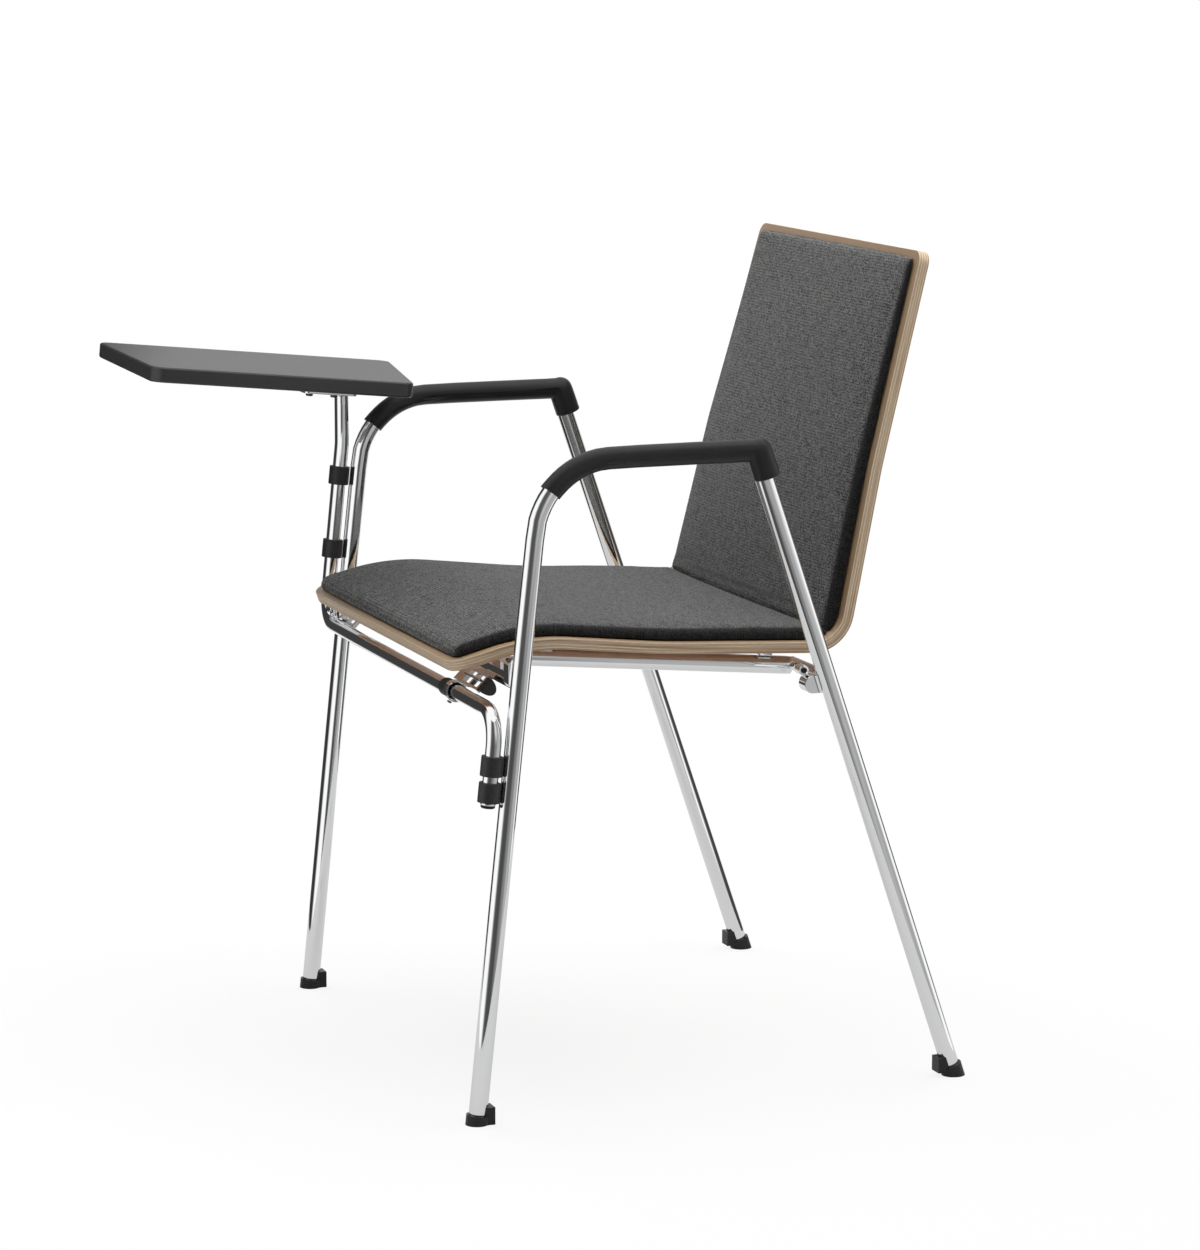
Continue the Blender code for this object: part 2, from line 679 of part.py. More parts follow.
def rail_height(y):
    """Height of a rail's axis."""
    return RAIL_REAR_HEIGHT + RAIL_SLOPE * (y - RAIL_BACK)


def make_rail(side):
    """A straight tube under the seat, from the front bracket to the rear one."""
    ends = [Vector((side * RAIL_SPACING / 2, y, rail_height(y))) for y in (RAIL_FRONT, RAIL_BACK)]
    swept(SIDE_NAMES[side] + "_seat_rail", [(end, RAIL_LINE) for end in ends], RAIL_RADIUS, CHROME)


def make_seat_clip(name, side, front):
    """A block on a rail that carries the plywood."""
    back = front + CLIP_DEPTH
    low = [(y, rail_height(y) + (RAIL_RADIUS + CLEARANCE) / RAIL_LINE.y) for y in (front, back)]
    high = [(y, underside(y) - 2 * CLEARANCE) for y in (back, front)]
    middle = side * RAIL_SPACING / 2
    sections = []
    for x in (middle - CLIP_WIDTH / 2, middle + CLIP_WIDTH / 2):
        sections.append([Vector((x, y, z)) for y, z in low + high])
    loft(SIDE_NAMES[side] + name, sections, CHROME, sections[0][0])


def make_seat_clips(side):
    make_seat_clip("_front_clip", side, RAIL_FRONT + CLIP_SET_IN)
    make_seat_clip("_rear_clip", side, RAIL_BACK - CLIP_SET_IN - CLIP_DEPTH)


def holder_inner(side):
    """Distance from the middle plane to the inner edge of a tube holder."""
    return FRAME_WIDTH / 2 - (LEFT_HOLDER_SET_IN if side > 0 else RIGHT_HOLDER_SET_IN)


def leg_bore(name, side, axis_at, leg, low, high):
    """The room that a leg takes out of a bracket."""
    return swept(name, [(axis_at(side, low), leg), (axis_at(side, high), leg)], SOCKET_RADIUS, CHROME)


def lug(name, side, corners, radius):
    """A cast plate against the inner half of a leg, its outline given as (y, z)."""
    points = [Vector((side * LUG_INNER, y, z)) for y, z in corners]
    normal = LEFT * side
    return plate(name, points[::side], radius, normal, LUG_INNER_REACH - LUG_FACE_SET_BACK, CHROME)


def make_front_bracket(side):
    """A lug on the front leg with a bar inward that carries the rail and the tube holder."""
    name = SIDE_NAMES[side] + "_front_bracket"
    middle = FRONT_LUG_CENTRE_HEIGHT
    leg_y = front_leg_at(side, middle).y
    front = leg_y - FRONT_LUG_DEPTH / 2
    back = leg_y + FRONT_LUG_DEPTH / 2
    low = middle - FRONT_LUG_TALL / 2
    high = middle + FRONT_LUG_TALL / 2
    piece = lug(name, side, [(front, low), (back, low), (back, high), (front, high)], FRONT_LUG_CORNER)
    rail_near = RAIL_SPACING / 2 - RAIL_BLOCK_WIDTH / 2
    rail_far = RAIL_SPACING / 2 + RAIL_BLOCK_WIDTH / 2
    inner = min(rail_near, holder_inner(side)) - BAR_OVERHANG
    outer = LUG_INNER + LUG_FACE_SET_BACK
    top = BAR_BOTTOM + BAR_TALL
    start, end = mirrored(side, inner, outer, BAR_FRONT, BAR_FRONT + BAR_DEPTH, BAR_BOTTOM, top)
    combine(piece, box(name + "_bar", start, end, CHROME), "UNION")
    start, end = mirrored(side, rail_near, rail_far, BAR_FRONT + BAR_DEPTH / 2, RAIL_BLOCK_BACK,
                          BAR_BOTTOM + PLATE_EDGE, top + BAR_OVERHANG)
    combine(piece, box(name + "_rail_block", start, end, CHROME), "UNION")
    bore = leg_bore(name + "_bore", side, front_leg_at, FRONT_LEG, low - BAR_TALL, high + BAR_TALL)
    combine(piece, bore, "DIFFERENCE")


def rear_lug_front(side):
    """How far back the front face of a rear bracket lies."""
    return rear_leg_at(side, (REAR_LUG_BOTTOM + REAR_LUG_TOP) / 2).y - REAR_LUG_FORWARD


def boss_end(side, reach):
    """A point on the axis of the boss on a rear bracket, just high enough for its button to clear the lug."""
    height = REAR_LUG_TOP + PLUG_DIAMETER / 2 + 2 * CLEARANCE
    return Vector((side * reach, rear_lug_front(side) + BOSS_SET_IN, height))


def make_rear_bracket(side):
    """A rounded lug on the rear leg with a round arm inward behind the rail and a boss on top."""
    name = SIDE_NAMES[side] + "_rear_bracket"
    low = REAR_LUG_BOTTOM
    high = REAR_LUG_TOP
    front = rear_lug_front(side)
    back = front + REAR_LUG_FORWARD + REAR_LUG_BACKWARD
    piece = lug(name, side, [(front, low), (back, low), (back, high), (front, high)], REAR_LUG_CORNER)
    reaches = (RAIL_SPACING / 2 - RAIL_RADIUS, LUG_INNER + LUG_FACE_SET_BACK)
    ends = [Vector((side * reach, REAR_ARM_BACK, RAIL_REAR_HEIGHT)) for reach in reaches]
    arm = swept(name + "_arm", [(end, LEFT * side) for end in ends], REAR_ARM_DIAMETER / 2, CHROME)
    combine(piece, arm, "UNION")
    ends = [boss_end(side, LUG_INNER + reach) for reach in (-BOSS_INWARD, BOSS_OUTWARD)]
    boss = swept(name + "_boss", [(end, LEFT * side) for end in ends], BOSS_DIAMETER / 2, CHROME)
    combine(piece, boss, "UNION")
    bore = leg_bore(name + "_bore", side, rear_leg_at, REAR_LEG, low - REAR_LUG_TALL, high + REAR_LUG_TALL)
    combine(piece, bore, "DIFFERENCE")


def make_bracket_plug(side):
    """A black button on the boss's outer face."""
    radius = PLUG_DIAMETER / 2
    base = boss_end(side, LUG_INNER + BOSS_OUTWARD + CLEARANCE)
    profile = [(0, radius), (PLUG_THICKNESS * 0.6, radius), (PLUG_THICKNESS, radius * 0.8)]
    turned(SIDE_NAMES[side] + "_bracket_plug", base, LEFT * side, profile, BLACK_PLASTIC)


# The tube that carries the tablet

TABLET_TUBE_RADIUS = TABLET_TUBE_DIAMETER / 2
RING_RADIUS = RING_DIAMETER / 2
TABLET_TUBE_GAP = TUBE_RADIUS + CLEARANCE + RING_RADIUS
TABLET_RUN_HEIGHT = RAIL_FRONT_HEIGHT - TABLET_RUN_DROP
TABLET_TOP_HEIGHT = ARM_HEIGHT + TABLET_OVER_ARM
TABLET_STUB_BEND_HEIGHT = TABLET_TOP_HEIGHT - TABLET_STUB_DROP
TABLET_NORMAL = Vector((0, math.sin(TABLET_SLOPE), math.cos(TABLET_SLOPE)))
TABLET_ALONG = Vector((0, math.cos(TABLET_SLOPE), -math.sin(TABLET_SLOPE)))


def tablet_tube_at(side, z):
    """The axis of the tablet tube where it runs beside a front leg."""
    return front_leg_at(side, z) - BACK * (TABLET_TUBE_GAP / FRONT_LEG.z)


STUB = tablet_tube_at(-1, TABLET_STUB_BEND_HEIGHT)
SWIVEL = Vector((STUB.x, STUB.y, TABLET_TOP_HEIGHT))
BOARD_UNDER = -TABLET_THICKNESS
SWIVEL_PLATE_TOP = BOARD_UNDER - CLEARANCE
PIVOT_TOP = SWIVEL_PLATE_TOP - SWIVEL_PLATE_THICKNESS - CLEARANCE
BASE_PLATE_TOP = PIVOT_TOP - PIVOT_HEIGHT - CLEARANCE
BASE_PLATE_UNDER = BASE_PLATE_TOP - BASE_PLATE_THICKNESS


def on_tablet(across, along, height):
    """A point in the tablet's own frame: towards the sitter's left, backward and up from the swivel."""
    return SWIVEL + LEFT * across + TABLET_ALONG * along + TABLET_NORMAL * height


def make_tablet_tube():
    """One bent tube: down beside the left leg, across under the seat, up beside the right leg."""
    reach = TABLET_TUBE_RADIUS * math.tan(TABLET_SLOPE) + CLEARANCE
    under = on_tablet(0, 0, BASE_PLATE_UNDER)
    top_height = under.z - (STUB.y - under.y) * math.tan(TABLET_SLOPE) - reach
    corners = [
        tablet_tube_at(1, TABLET_RUN_HEIGHT - TABLET_TUBE_END_DROP),
        tablet_tube_at(1, TABLET_RUN_HEIGHT),
        tablet_tube_at(-1, TABLET_RUN_HEIGHT),
        STUB,
        Vector((STUB.x, STUB.y, top_height)),
    ]
    radii = [TABLET_TUBE_BEND, TABLET_TUBE_BEND, TABLET_STUB_BEND_RADIUS]
    swept("tablet_tube", bent_line(corners, radii, TURN_STEP), TABLET_TUBE_RADIUS, CHROME)
    base = corners[0] - FRONT_LEG * CLEARANCE
    radius = END_CAP_DIAMETER / 2
    profile = [(0, radius), (END_CAP_THICKNESS * 0.7, radius), (END_CAP_THICKNESS, radius * 0.85)]
    turned("tablet_tube_cap", base, -FRONT_LEG, profile, BLACK_PLASTIC)


def make_rings():
    """Spacer rings that keep the tablet tube off the front legs."""
    low = TABLET_RUN_HEIGHT + TABLET_TUBE_BEND
    stretch = TABLET_STUB_BEND_HEIGHT - low
    places = {
        "right_upper_ring": (-1, low + stretch * RIGHT_UPPER_RING_SHARE),
        "right_lower_ring": (-1, low + stretch * RIGHT_LOWER_RING_SHARE),
        "left_upper_ring": (1, TABLET_RUN_HEIGHT - LEFT_UPPER_RING_DROP),
        "left_lower_ring": (1, TABLET_RUN_HEIGHT - LEFT_LOWER_RING_DROP),
    }
    for name, (side, height) in places.items():
        centre = tablet_tube_at(side, height)
        sleeve(name, centre, FRONT_LEG, TABLET_TUBE_RADIUS + CLEARANCE, RING_RADIUS, RING_HEIGHT, RUBBER)


# Holders between the front brackets and the tablet tube

RUN_AXIS = Vector((0, tablet_tube_at(1, TABLET_RUN_HEIGHT).y, TABLET_RUN_HEIGHT))
HOLDER_SLOPE = math.atan2(BAR_BOTTOM + HOLDER_JOIN - RUN_AXIS.z, BAR_FRONT - RUN_AXIS.y)
HOLDER_ALONG = Vector((0, math.cos(HOLDER_SLOPE), math.sin(HOLDER_SLOPE)))
HOLDER_NORMAL = Vector((0, -math.sin(HOLDER_SLOPE), math.cos(HOLDER_SLOPE)))
HOLDER_TOP = (BAR_FRONT - CLEARANCE - RUN_AXIS.y - HOLDER_THICKNESS / 2 * math.sin(HOLDER_SLOPE)) / HOLDER_ALONG.y
HOLDER_ROOT = TABLET_TUBE_RADIUS + CLEARANCE
LINER_RADIUS = LINER_DIAMETER / 2


def on_holder(side, reach, along, height):
    """A point by its distance from the middle plane, along the sloping ladder and square to it."""
    return RUN_AXIS + LEFT * (side * reach) + HOLDER_ALONG * along + HOLDER_NORMAL * height


def ladder_part(name, side, near, far, low, high, thickness):
    """A flat block in the sloping plane of a holder."""
    half = thickness / 2
    sections = []
    for height in (-half, half):
        ends = [(near, low), (far, low), (far, high), (near, high)]
        sections.append([on_holder(side, reach, along, height) for reach, along in ends])
    return loft(name, sections, CHROME, sections[0][0])


def make_holder(side, hooked):
    """A cast ladder between the front bracket and the tablet tube; the left one hooks round the tube."""
    name = SIDE_NAMES[side] + "_tube_holder"
    inner = holder_inner(side)
    outer = inner + HOLDER_WIDTH
    root = (LINER_RADIUS + CLEARANCE + HOOK_DIAMETER / 2) / 2 if hooked else HOLDER_ROOT
    piece = ladder_part(name, side, inner, outer, root, HOLDER_TOP, HOLDER_THICKNESS)
    low = root + HOLDER_LOWER_BAR
    high = HOLDER_TOP - HOLDER_UPPER_BAR
    rows = [(low, low + LOWER_WINDOW), (low + LOWER_WINDOW + HOLDER_MIDDLE_BAR, high)]
    width = (HOLDER_WIDTH - 3 * HOLDER_RIB) / 2
    for column in (0, 1):
        near = inner + HOLDER_RIB + column * (width + HOLDER_RIB)
        for row, (start, end) in enumerate(rows):
            label = f"{name}_window_{column}_{row}"
            window = ladder_part(label, side, near, near + width, start, end, HOLDER_THICKNESS * 2)
            combine(piece, window, "DIFFERENCE")
    if hooked:
        web = ladder_part(name + "_web", side, inner - HOLDER_WEB, inner + HOLDER_RIB / 2, root + PLATE_EDGE,
                          HOLDER_TOP - PLATE_EDGE, HOLDER_THICKNESS - 2 * PLATE_EDGE)
        combine(piece, web, "UNION")
        centre = on_holder(side, inner + HOOK_LENGTH / 2, 0, 0)
        bore = LINER_RADIUS + CLEARANCE
        hook = sleeve(name + "_hook", centre, LEFT, bore, HOOK_DIAMETER / 2, HOOK_LENGTH, CHROME)
        combine(piece, hook, "UNION")


def make_buffer(name, side, near):
    """A rubber block beside the ladder, flat above and half round below."""
    turns = [math.pi * k / (BUFFER_POINTS - 1) for k in range(BUFFER_POINTS)]
    sections = []
    for reach in (near, near + BUFFER_LENGTH):
        section = []
        for turn in turns:
            along = BUFFER_ALONG + BUFFER_WIDTH / 2 * math.cos(turn)
            height = HOLDER_THICKNESS / 2 - BUFFER_DEPTH * math.sin(turn)
            section.append(on_holder(side, reach, along, height))
        sections.append(section)
    loft(name, sections, RUBBER, sections[0][0])


def make_holder_fittings(side):
    """The liner in the hook, the pin across the ladder, the buffer beside it and the hook's screw."""
    name = SIDE_NAMES[side]
    inner = holder_inner(side)
    outer = inner + HOLDER_WIDTH
    axis = LEFT * side
    length = LINER_REACH + HOOK_LENGTH / 2
    sleeve(name + "_holder_liner", on_holder(side, inner + HOOK_LENGTH / 2 - length / 2, 0, 0), LEFT,
           TABLET_TUBE_RADIUS + CLEARANCE, LINER_RADIUS, length, RUBBER)
    height = HOLDER_THICKNESS / 2 + CLEARANCE + PIN_DIAMETER / 2
    along = (HOOK_DIAMETER / 2 + HOLDER_TOP) / 2
    ends = [on_holder(side, reach, along, height) for reach in (inner + HOLDER_RIB / 2, outer - HOLDER_RIB / 2)]
    swept(name + "_holder_pin", [(end, axis) for end in ends], PIN_DIAMETER / 2, CHROME)
    make_buffer(name + "_holder_buffer", side, outer + CLEARANCE)
    outward = Vector((0, math.cos(SCREW_ANGLE), math.sin(SCREW_ANGLE)))
    foot = on_holder(side, inner + HOOK_LENGTH / 2, 0, 0) + outward * (HOOK_DIAMETER / 2 + CLEARANCE)
    radius = SCREW_DIAMETER / 2
    profile = [(0, radius), (SCREW_HEIGHT * 0.6, radius), (SCREW_HEIGHT, radius * 0.7)]
    turned(name + "_holder_screw", foot, outward, profile, STEEL)


# The writing tablet and its swivel

def plate_corners(outer, inner, front, rear, height):
    """A rectangle in the tablet's frame, counter-clockwise seen from above."""
    ends = [(-outer, -front), (inner, -front), (inner, rear), (-outer, rear)]
    return [on_tablet(across, along, height) for across, along in ends]


def make_tablet():
    """The board, the plate under it that turns with it, and the pivot and plate that stay on the tube."""
    board = [
        on_tablet(-TABLET_OUTER_REACH, -TABLET_FRONT_OUTER, BOARD_UNDER),
        on_tablet(TABLET_INNER_REACH, -TABLET_FRONT_INNER, BOARD_UNDER),
        on_tablet(TABLET_INNER_REACH, TABLET_REAR_INNER, BOARD_UNDER),
        on_tablet(-TABLET_OUTER_REACH, TABLET_REAR_OUTER, BOARD_UNDER),
    ]
    top = plate("tablet_top", board, TABLET_CORNER, TABLET_NORMAL, TABLET_THICKNESS, BOARD, TABLET_EDGE)
    corners = plate_corners(SWIVEL_PLATE_OUTER, SWIVEL_PLATE_WIDTH - SWIVEL_PLATE_OUTER, SWIVEL_PLATE_FRONT,
                            SWIVEL_PLATE_REAR, SWIVEL_PLATE_TOP - SWIVEL_PLATE_THICKNESS)
    swivel = plate("tablet_swivel_plate", corners, PLATE_CORNER, TABLET_NORMAL, SWIVEL_PLATE_THICKNESS, STEEL)
    radius = PIVOT_DIAMETER / 2
    base = on_tablet(0, 0, PIVOT_TOP - PIVOT_HEIGHT)
    profile = [(0, radius), (PIVOT_HEIGHT - PLATE_EDGE, radius), (PIVOT_HEIGHT, radius - PLATE_EDGE)]
    turned("tablet_pivot", base, TABLET_NORMAL, profile, BLACK_PLASTIC)
    half = BASE_PLATE_WIDTH / 2
    corners = plate_corners(half, half, BASE_PLATE_FRONT, BASE_PLATE_REAR, BASE_PLATE_UNDER)
    plate("tablet_base_plate", corners, PLATE_CORNER, TABLET_NORMAL, BASE_PLATE_THICKNESS, CHROME)
    radius = BOLT_DIAMETER / 2
    profile = [(0, radius), (BOLT_HEIGHT * 0.7, radius), (BOLT_HEIGHT, radius * 0.8)]
    for name, along in (("front", BOLT_INSET), ("rear", BOLT_INSET + BOLT_SPACING)):
        foot = on_tablet(half - BOLT_INSET, along - BASE_PLATE_FRONT, BASE_PLATE_UNDER - CLEARANCE)
        turned("tablet_bolt_" + name, foot, -TABLET_NORMAL, profile, STEEL)
    return [top, swivel]


for side in SIDE_NAMES:
    make_legs(side)
    make_arm_pad(side)
    make_glides(side)
    make_rail(side)
    make_front_bracket(side)
    make_rear_bracket(side)
    make_bracket_plug(side)
    make_seat_clips(side)
make_holder(1, True)
make_holder_fittings(1)
make_holder(-1, False)
make_shell()
make_pads()
make_tablet_tube()
make_rings()
turning = make_tablet()

# The tablet turns about an empty on its swivel axis; a root empty then centres the whole chair

swivel = bpy.data.objects.new("swivel_axis", None)
swivel.location = SWIVEL
bpy.context.scene.collection.objects.link(swivel)
for piece in turning:
    piece.parent = swivel
    piece.location = piece.location - SWIVEL

bpy.context.view_layer.update()
graph = bpy.context.evaluated_depsgraph_get()
reach = []
for piece in bpy.data.objects:
    if piece.type == "MESH" and not piece.hide_render:
        shaped = piece.evaluated_get(graph)
        reach.extend(shaped.matrix_world @ Vector(corner) for corner in shaped.bound_box)
low = Vector([min(point[i] for point in reach) for i in range(3)])
high = Vector([max(point[i] for point in reach) for i in range(3)])

root = bpy.data.objects.new("chair", None)
root.location = Vector((-(low.x + high.x) / 2, -(low.y + high.y) / 2, -low.z))
bpy.context.scene.collection.objects.link(root)
for piece in list(bpy.data.objects):
    if piece.parent is None and piece is not root:
        piece.parent = root
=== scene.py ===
import json
import math

import bmesh
import bpy
import numpy as np
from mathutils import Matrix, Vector

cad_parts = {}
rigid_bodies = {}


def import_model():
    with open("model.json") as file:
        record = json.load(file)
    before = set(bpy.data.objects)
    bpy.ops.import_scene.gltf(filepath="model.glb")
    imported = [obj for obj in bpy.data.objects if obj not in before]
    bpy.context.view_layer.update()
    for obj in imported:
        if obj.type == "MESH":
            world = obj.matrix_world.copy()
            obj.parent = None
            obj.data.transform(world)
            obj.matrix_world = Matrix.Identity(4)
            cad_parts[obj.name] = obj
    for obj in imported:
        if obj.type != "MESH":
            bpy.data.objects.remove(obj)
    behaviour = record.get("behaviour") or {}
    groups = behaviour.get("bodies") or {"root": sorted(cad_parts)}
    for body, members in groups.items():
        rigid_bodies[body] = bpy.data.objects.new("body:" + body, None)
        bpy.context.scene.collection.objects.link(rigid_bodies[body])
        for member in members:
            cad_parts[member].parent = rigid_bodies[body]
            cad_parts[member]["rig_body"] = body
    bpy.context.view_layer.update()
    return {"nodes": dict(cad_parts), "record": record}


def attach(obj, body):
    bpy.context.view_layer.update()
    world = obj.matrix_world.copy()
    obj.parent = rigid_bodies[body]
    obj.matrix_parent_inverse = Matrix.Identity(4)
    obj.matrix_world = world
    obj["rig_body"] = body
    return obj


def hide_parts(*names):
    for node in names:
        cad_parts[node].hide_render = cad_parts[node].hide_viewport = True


# Looks of a stacking conference armchair with a writing tablet, in metres, +Z up, the sitter facing -Y.

# Camera of the photograph
CAMERA_AZIMUTH = math.radians(69.6)
CAMERA_ELEVATION = math.radians(9.672)
CAMERA_TARGET = Vector((0.0671276, 0.0656584, 0.4550))
CAMERA_DISTANCE = 4.4596
CAMERA_LENS_MM = 122.84
CAMERA_SENSOR_MM = 36.0

# Light
WORLD_FILL = 0.16
TOP_LIGHT_WATTS = 94.0
TOP_LIGHT_SIZE = 2.6
TOP_LIGHT_HEIGHT = 2.9
TOP_LIGHT_BEHIND = 0.35
KEY_LIGHT_WATTS = 40.0
KEY_LIGHT_SIZE = 2.2
KEY_LIGHT_AZIMUTH = math.radians(-64.0)
KEY_LIGHT_ELEVATION = math.radians(42.0)
KEY_LIGHT_DISTANCE = 3.0

# Floor: the share of its white that is its own glow near the chair, and how bright gloss sees it
FLOOR_HALF_WIDTH = 9.0
FLOOR_NEAR_GLOW = 0.86
FLOOR_NEAR = 0.7
FLOOR_FAR = 2.0
FLOOR_MIRRORED = 0.58
FLOOR_ROUGHNESS = 0.9
FLOOR_COLOUR = (0.88, 0.88, 0.88, 1.0)
WHITE = (1.0, 1.0, 1.0, 1.0)

# Soft boxes and dark flags that only gloss sees: degrees from the camera, brightness low and high
RING_RADIUS = 0.85
RING_STEP = 2
RING_HEIGHTS = (0.0, 0.35, 0.75, 1.5)
RING_HIGH_SHARES = (0.0, 0.0, 1.0, 1.0)
RING_STOPS = (
    (-180, 0.95, 0.62), (-150, 0.95, 0.62), (-142, 0.05, 0.05), (-95, 0.03, 0.03), (-86, 0.50, 0.50),
    (-78, 1.00, 1.00), (-38, 1.00, 1.00), (-24, 0.12, 0.14), (-14, 0.07, 0.08), (4, 0.07, 0.12),
    (18, 0.22, 0.75), (30, 0.24, 0.60), (38, 0.40, 0.35), (52, 0.45, 0.30), (62, 0.36, 0.90),
    (72, 0.42, 1.00), (78, 1.00, 1.00), (92, 1.00, 1.00), (100, 0.30, 0.60), (110, 0.06, 0.06),
    (142, 0.05, 0.05), (150, 0.95, 0.62), (180, 0.95, 0.62),
)

# Surfaces of the solids
SHARP_ANGLE = math.radians(32.0)
FLAT_ANGLE = math.radians(0.4)
QUAD_ANGLE = math.radians(100.0)
WELD_DISTANCE = 0.00002
SAME_WIDTH = 0.000003
SAME_GAP = 0.0001
CAST_WORDS = ("bracket", "clip", "tube_holder", "plate", "tablet_top")
CAST_EDGE = 0.0006
TURNED_EDGE = 0.0005
EDGE_SEGMENTS = 3

# Plywood edge and the steps along its bends
SHELL_EDGE = 0.0005
SHELL_EDGE_SEGMENTS = 2
SHELL_SHARP_ANGLE = math.radians(20.0)
SHELL_STEP = 0.004

# How the shell's bends are read from its solid
LAP_SHARE = 0.45
FACE_PERCENTILE = 75
EDGE_PERCENTILE = 25
SEARCH_ROUNDS = 4
HEIGHT_PENALTY = 0.01

# Pads
PAD_LEVELS = 2
PAD_SWELL_LIMIT = 0.0022
PAD_PRESSURE = 4.0
PAD_FRAMES = 20
PAD_QUALITY = 5
PAD_TENSION = 20.0
PAD_BENDING = 2.0
PAD_HELD_HEIGHT = 0.0022
PAD_CALM_END = 0.09
PAD_CALM_SIDE = 0.06
PAD_SIDE_SWELL = 0.003

# Painted shade: how far the cloth's colour darkens where it turns down at the pads' long sides
WALL_SHADE_START = 0.12
WALL_SHADE_FULL = 0.42
WALL_SHADE_AMOUNT = 0.95

# Finishes: tones as seen on a screen, counts per metre, relief as depth in metres and strength
NOISE_RANGE = (0.3, 0.7)
CLOUD_DETAIL = 3.0
CHROME_TONES = ((247, 248, 249), (252, 252, 253))
CHROME_CLOUD = 35.0
CHROME_GRAIN = 600.0
CHROME_ROUGHNESS = (0.03, 0.06)
CHROME_RELIEF = (0.00002, 0.15)
PLASTIC_TONES = ((38, 38, 38), (47, 47, 47))
PLASTIC_CLOUD = 18.0
PLASTIC_GRAIN = 1400.0
PLASTIC_GLOSS = 0.24
PLASTIC_ROUGHNESS = (0.30, 0.42)
PLASTIC_RELIEF = (0.00012, 0.25)
RUBBER_TONES = ((40, 40, 41), (52, 52, 53))
RUBBER_GRAIN = 900.0
RUBBER_ROUGHNESS = (0.42, 0.58)
RUBBER_RELIEF = (0.00015, 0.3)
BOARD_TONES = ((54, 54, 54), (63, 63, 63))
BOARD_CLOUD = 9.0
BOARD_PEBBLE = 1600.0
BOARD_ROUGHNESS = (0.30, 0.40)
BOARD_RELIEF = (0.00010, 0.2)
STEEL_TONES = ((74, 74, 76), (104, 104, 106))
STEEL_BRUSH = (1500.0, 60.0, 1500.0)
STEEL_METALLIC = 0.85
STEEL_ROUGHNESS = (0.28, 0.42)

# Plywood: tones, counts per metre across, along and through, detail and roughness of each noise,
# and where each mark lies
VENEER_TONES = ((194, 167, 132), (222, 198, 164))
FIGURE_TONE = (188, 160, 124)
CROSS_PLY_TONES = ((212, 190, 160), (236, 218, 192))
GLUE_TONE = (122, 94, 66)
STREAK_TONE = (150, 108, 74)
# Painted shade: darker veneer tones for the underside of the seat part
UNDERSIDE_SHADE_TONES = ((128, 90, 60), (158, 118, 84))
FIBRE_COUNTS = (520.0, 14.0, 900.0)
FIGURE_COUNTS = (30.0, 2.2, 30.0)
END_GRAIN_COUNTS = (160.0, 160.0, 1800.0)
STREAK_COUNTS = (1.0, 7.0, 620.0)
FIBRE_NOISE = (4.0, 0.6)
FIGURE_NOISE = (3.0, 0.55)
END_GRAIN_NOISE = (3.0, 0.6)
STREAK_NOISE = (3.0, 0.55)
FIGURE_RANGE = (0.35, 0.7)
FIGURE_SHARE = 0.45
GLUE_WIDTH = 0.14
GLUE_SHARE = 0.7
STREAK_RANGE = (0.50, 0.64)
STREAK_SHARE = 0.75
OUTER_PLY_SHARE = 0.8
PLYWOOD_ROUGHNESS = (0.38, 0.52)
PLYWOOD_RELIEF = (0.00008, 0.25)
LACQUER_WEIGHT = 0.12
LACQUER_ROUGHNESS = 0.3
PLY_COUNT = 8
# Painted shade: how deep the underside's darker veneer reaches, and where it fades out along the shell
UNDERSIDE_SHADE_DEPTH = 0.0004
UNDERSIDE_SHADE_FADE = (0.36, 0.44)
STREAK_DEPTHS = (0.0004, 0.0010)
OUTER_PLY_DEPTHS = (0.0010, 0.0016)

# Cloth
YARN_TONES = ((12, 12, 12), (130, 130, 129))
# Painted shade: darker tones of the same cloth for the pads' turned-down long sides
WALL_SHADE_TONES = ((4, 4, 4), (32, 32, 32))
# Painted shade in the low gaps between threads
GAP_SHADE_TONE = (20, 20, 20)
GAP_SHADE_HEIGHTS = (0.1, 0.7)
GAP_SHADE_SHARE = 0.6
THREAD_CROWN = 0.6
MOTTLE_COUNTS = (520.0, 800.0, 520.0)
MOTTLE_NOISE = (3.0, 0.7)
MOTTLE_RANGE = (0.42, 0.58)
TONE_RANGE = (0.25, 0.75)
CLOTH_ROUGHNESS = 0.92
CLOTH_GLOSS = 0.2
CLOTH_SHEEN = 0.12
CLOTH_SHEEN_ROUGHNESS = 0.5
CLOTH_RELIEF = (0.00045, 0.6)
THREAD = 0.0012
FLECK_LENGTH = 3.0
MOTTLE_SHARE = 0.45
RIB_PITCH = 0.0031
RIB_SHARE = 0.22

for old in list(bpy.data.objects):
    bpy.data.objects.remove(old)
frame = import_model()
record = frame["record"]
slot_of = {part["node"]: part["material_slot"] for part in record["subparts"]}


# Shader helpers

def new_material(name):
    """A node material and its Principled shader."""
    material = bpy.data.materials.new(name)
    material.use_nodes = True
    return material, material.node_tree, material.node_tree.nodes["Principled BSDF"]


def plug(tree, socket, value):
    """Sets a socket to a plain value, or joins it to another node's output."""
    if isinstance(value, bpy.types.NodeSocket):
        tree.links.new(value, socket)
    else:
        socket.default_value = value


def add_node(tree, kind, inputs, **settings):
    """A shader node with its settings and inputs."""
    node = tree.nodes.new("ShaderNode" + kind)
    for name, value in settings.items():
        setattr(node, name, value)
    for name, value in inputs.items():
        plug(tree, node.inputs[name], value)
    return node


def math_node(tree, operation, first, second=0.0):
    """The result of one sum."""
    return add_node(tree, "Math", {0: first, 1: second}, operation=operation).outputs[0]


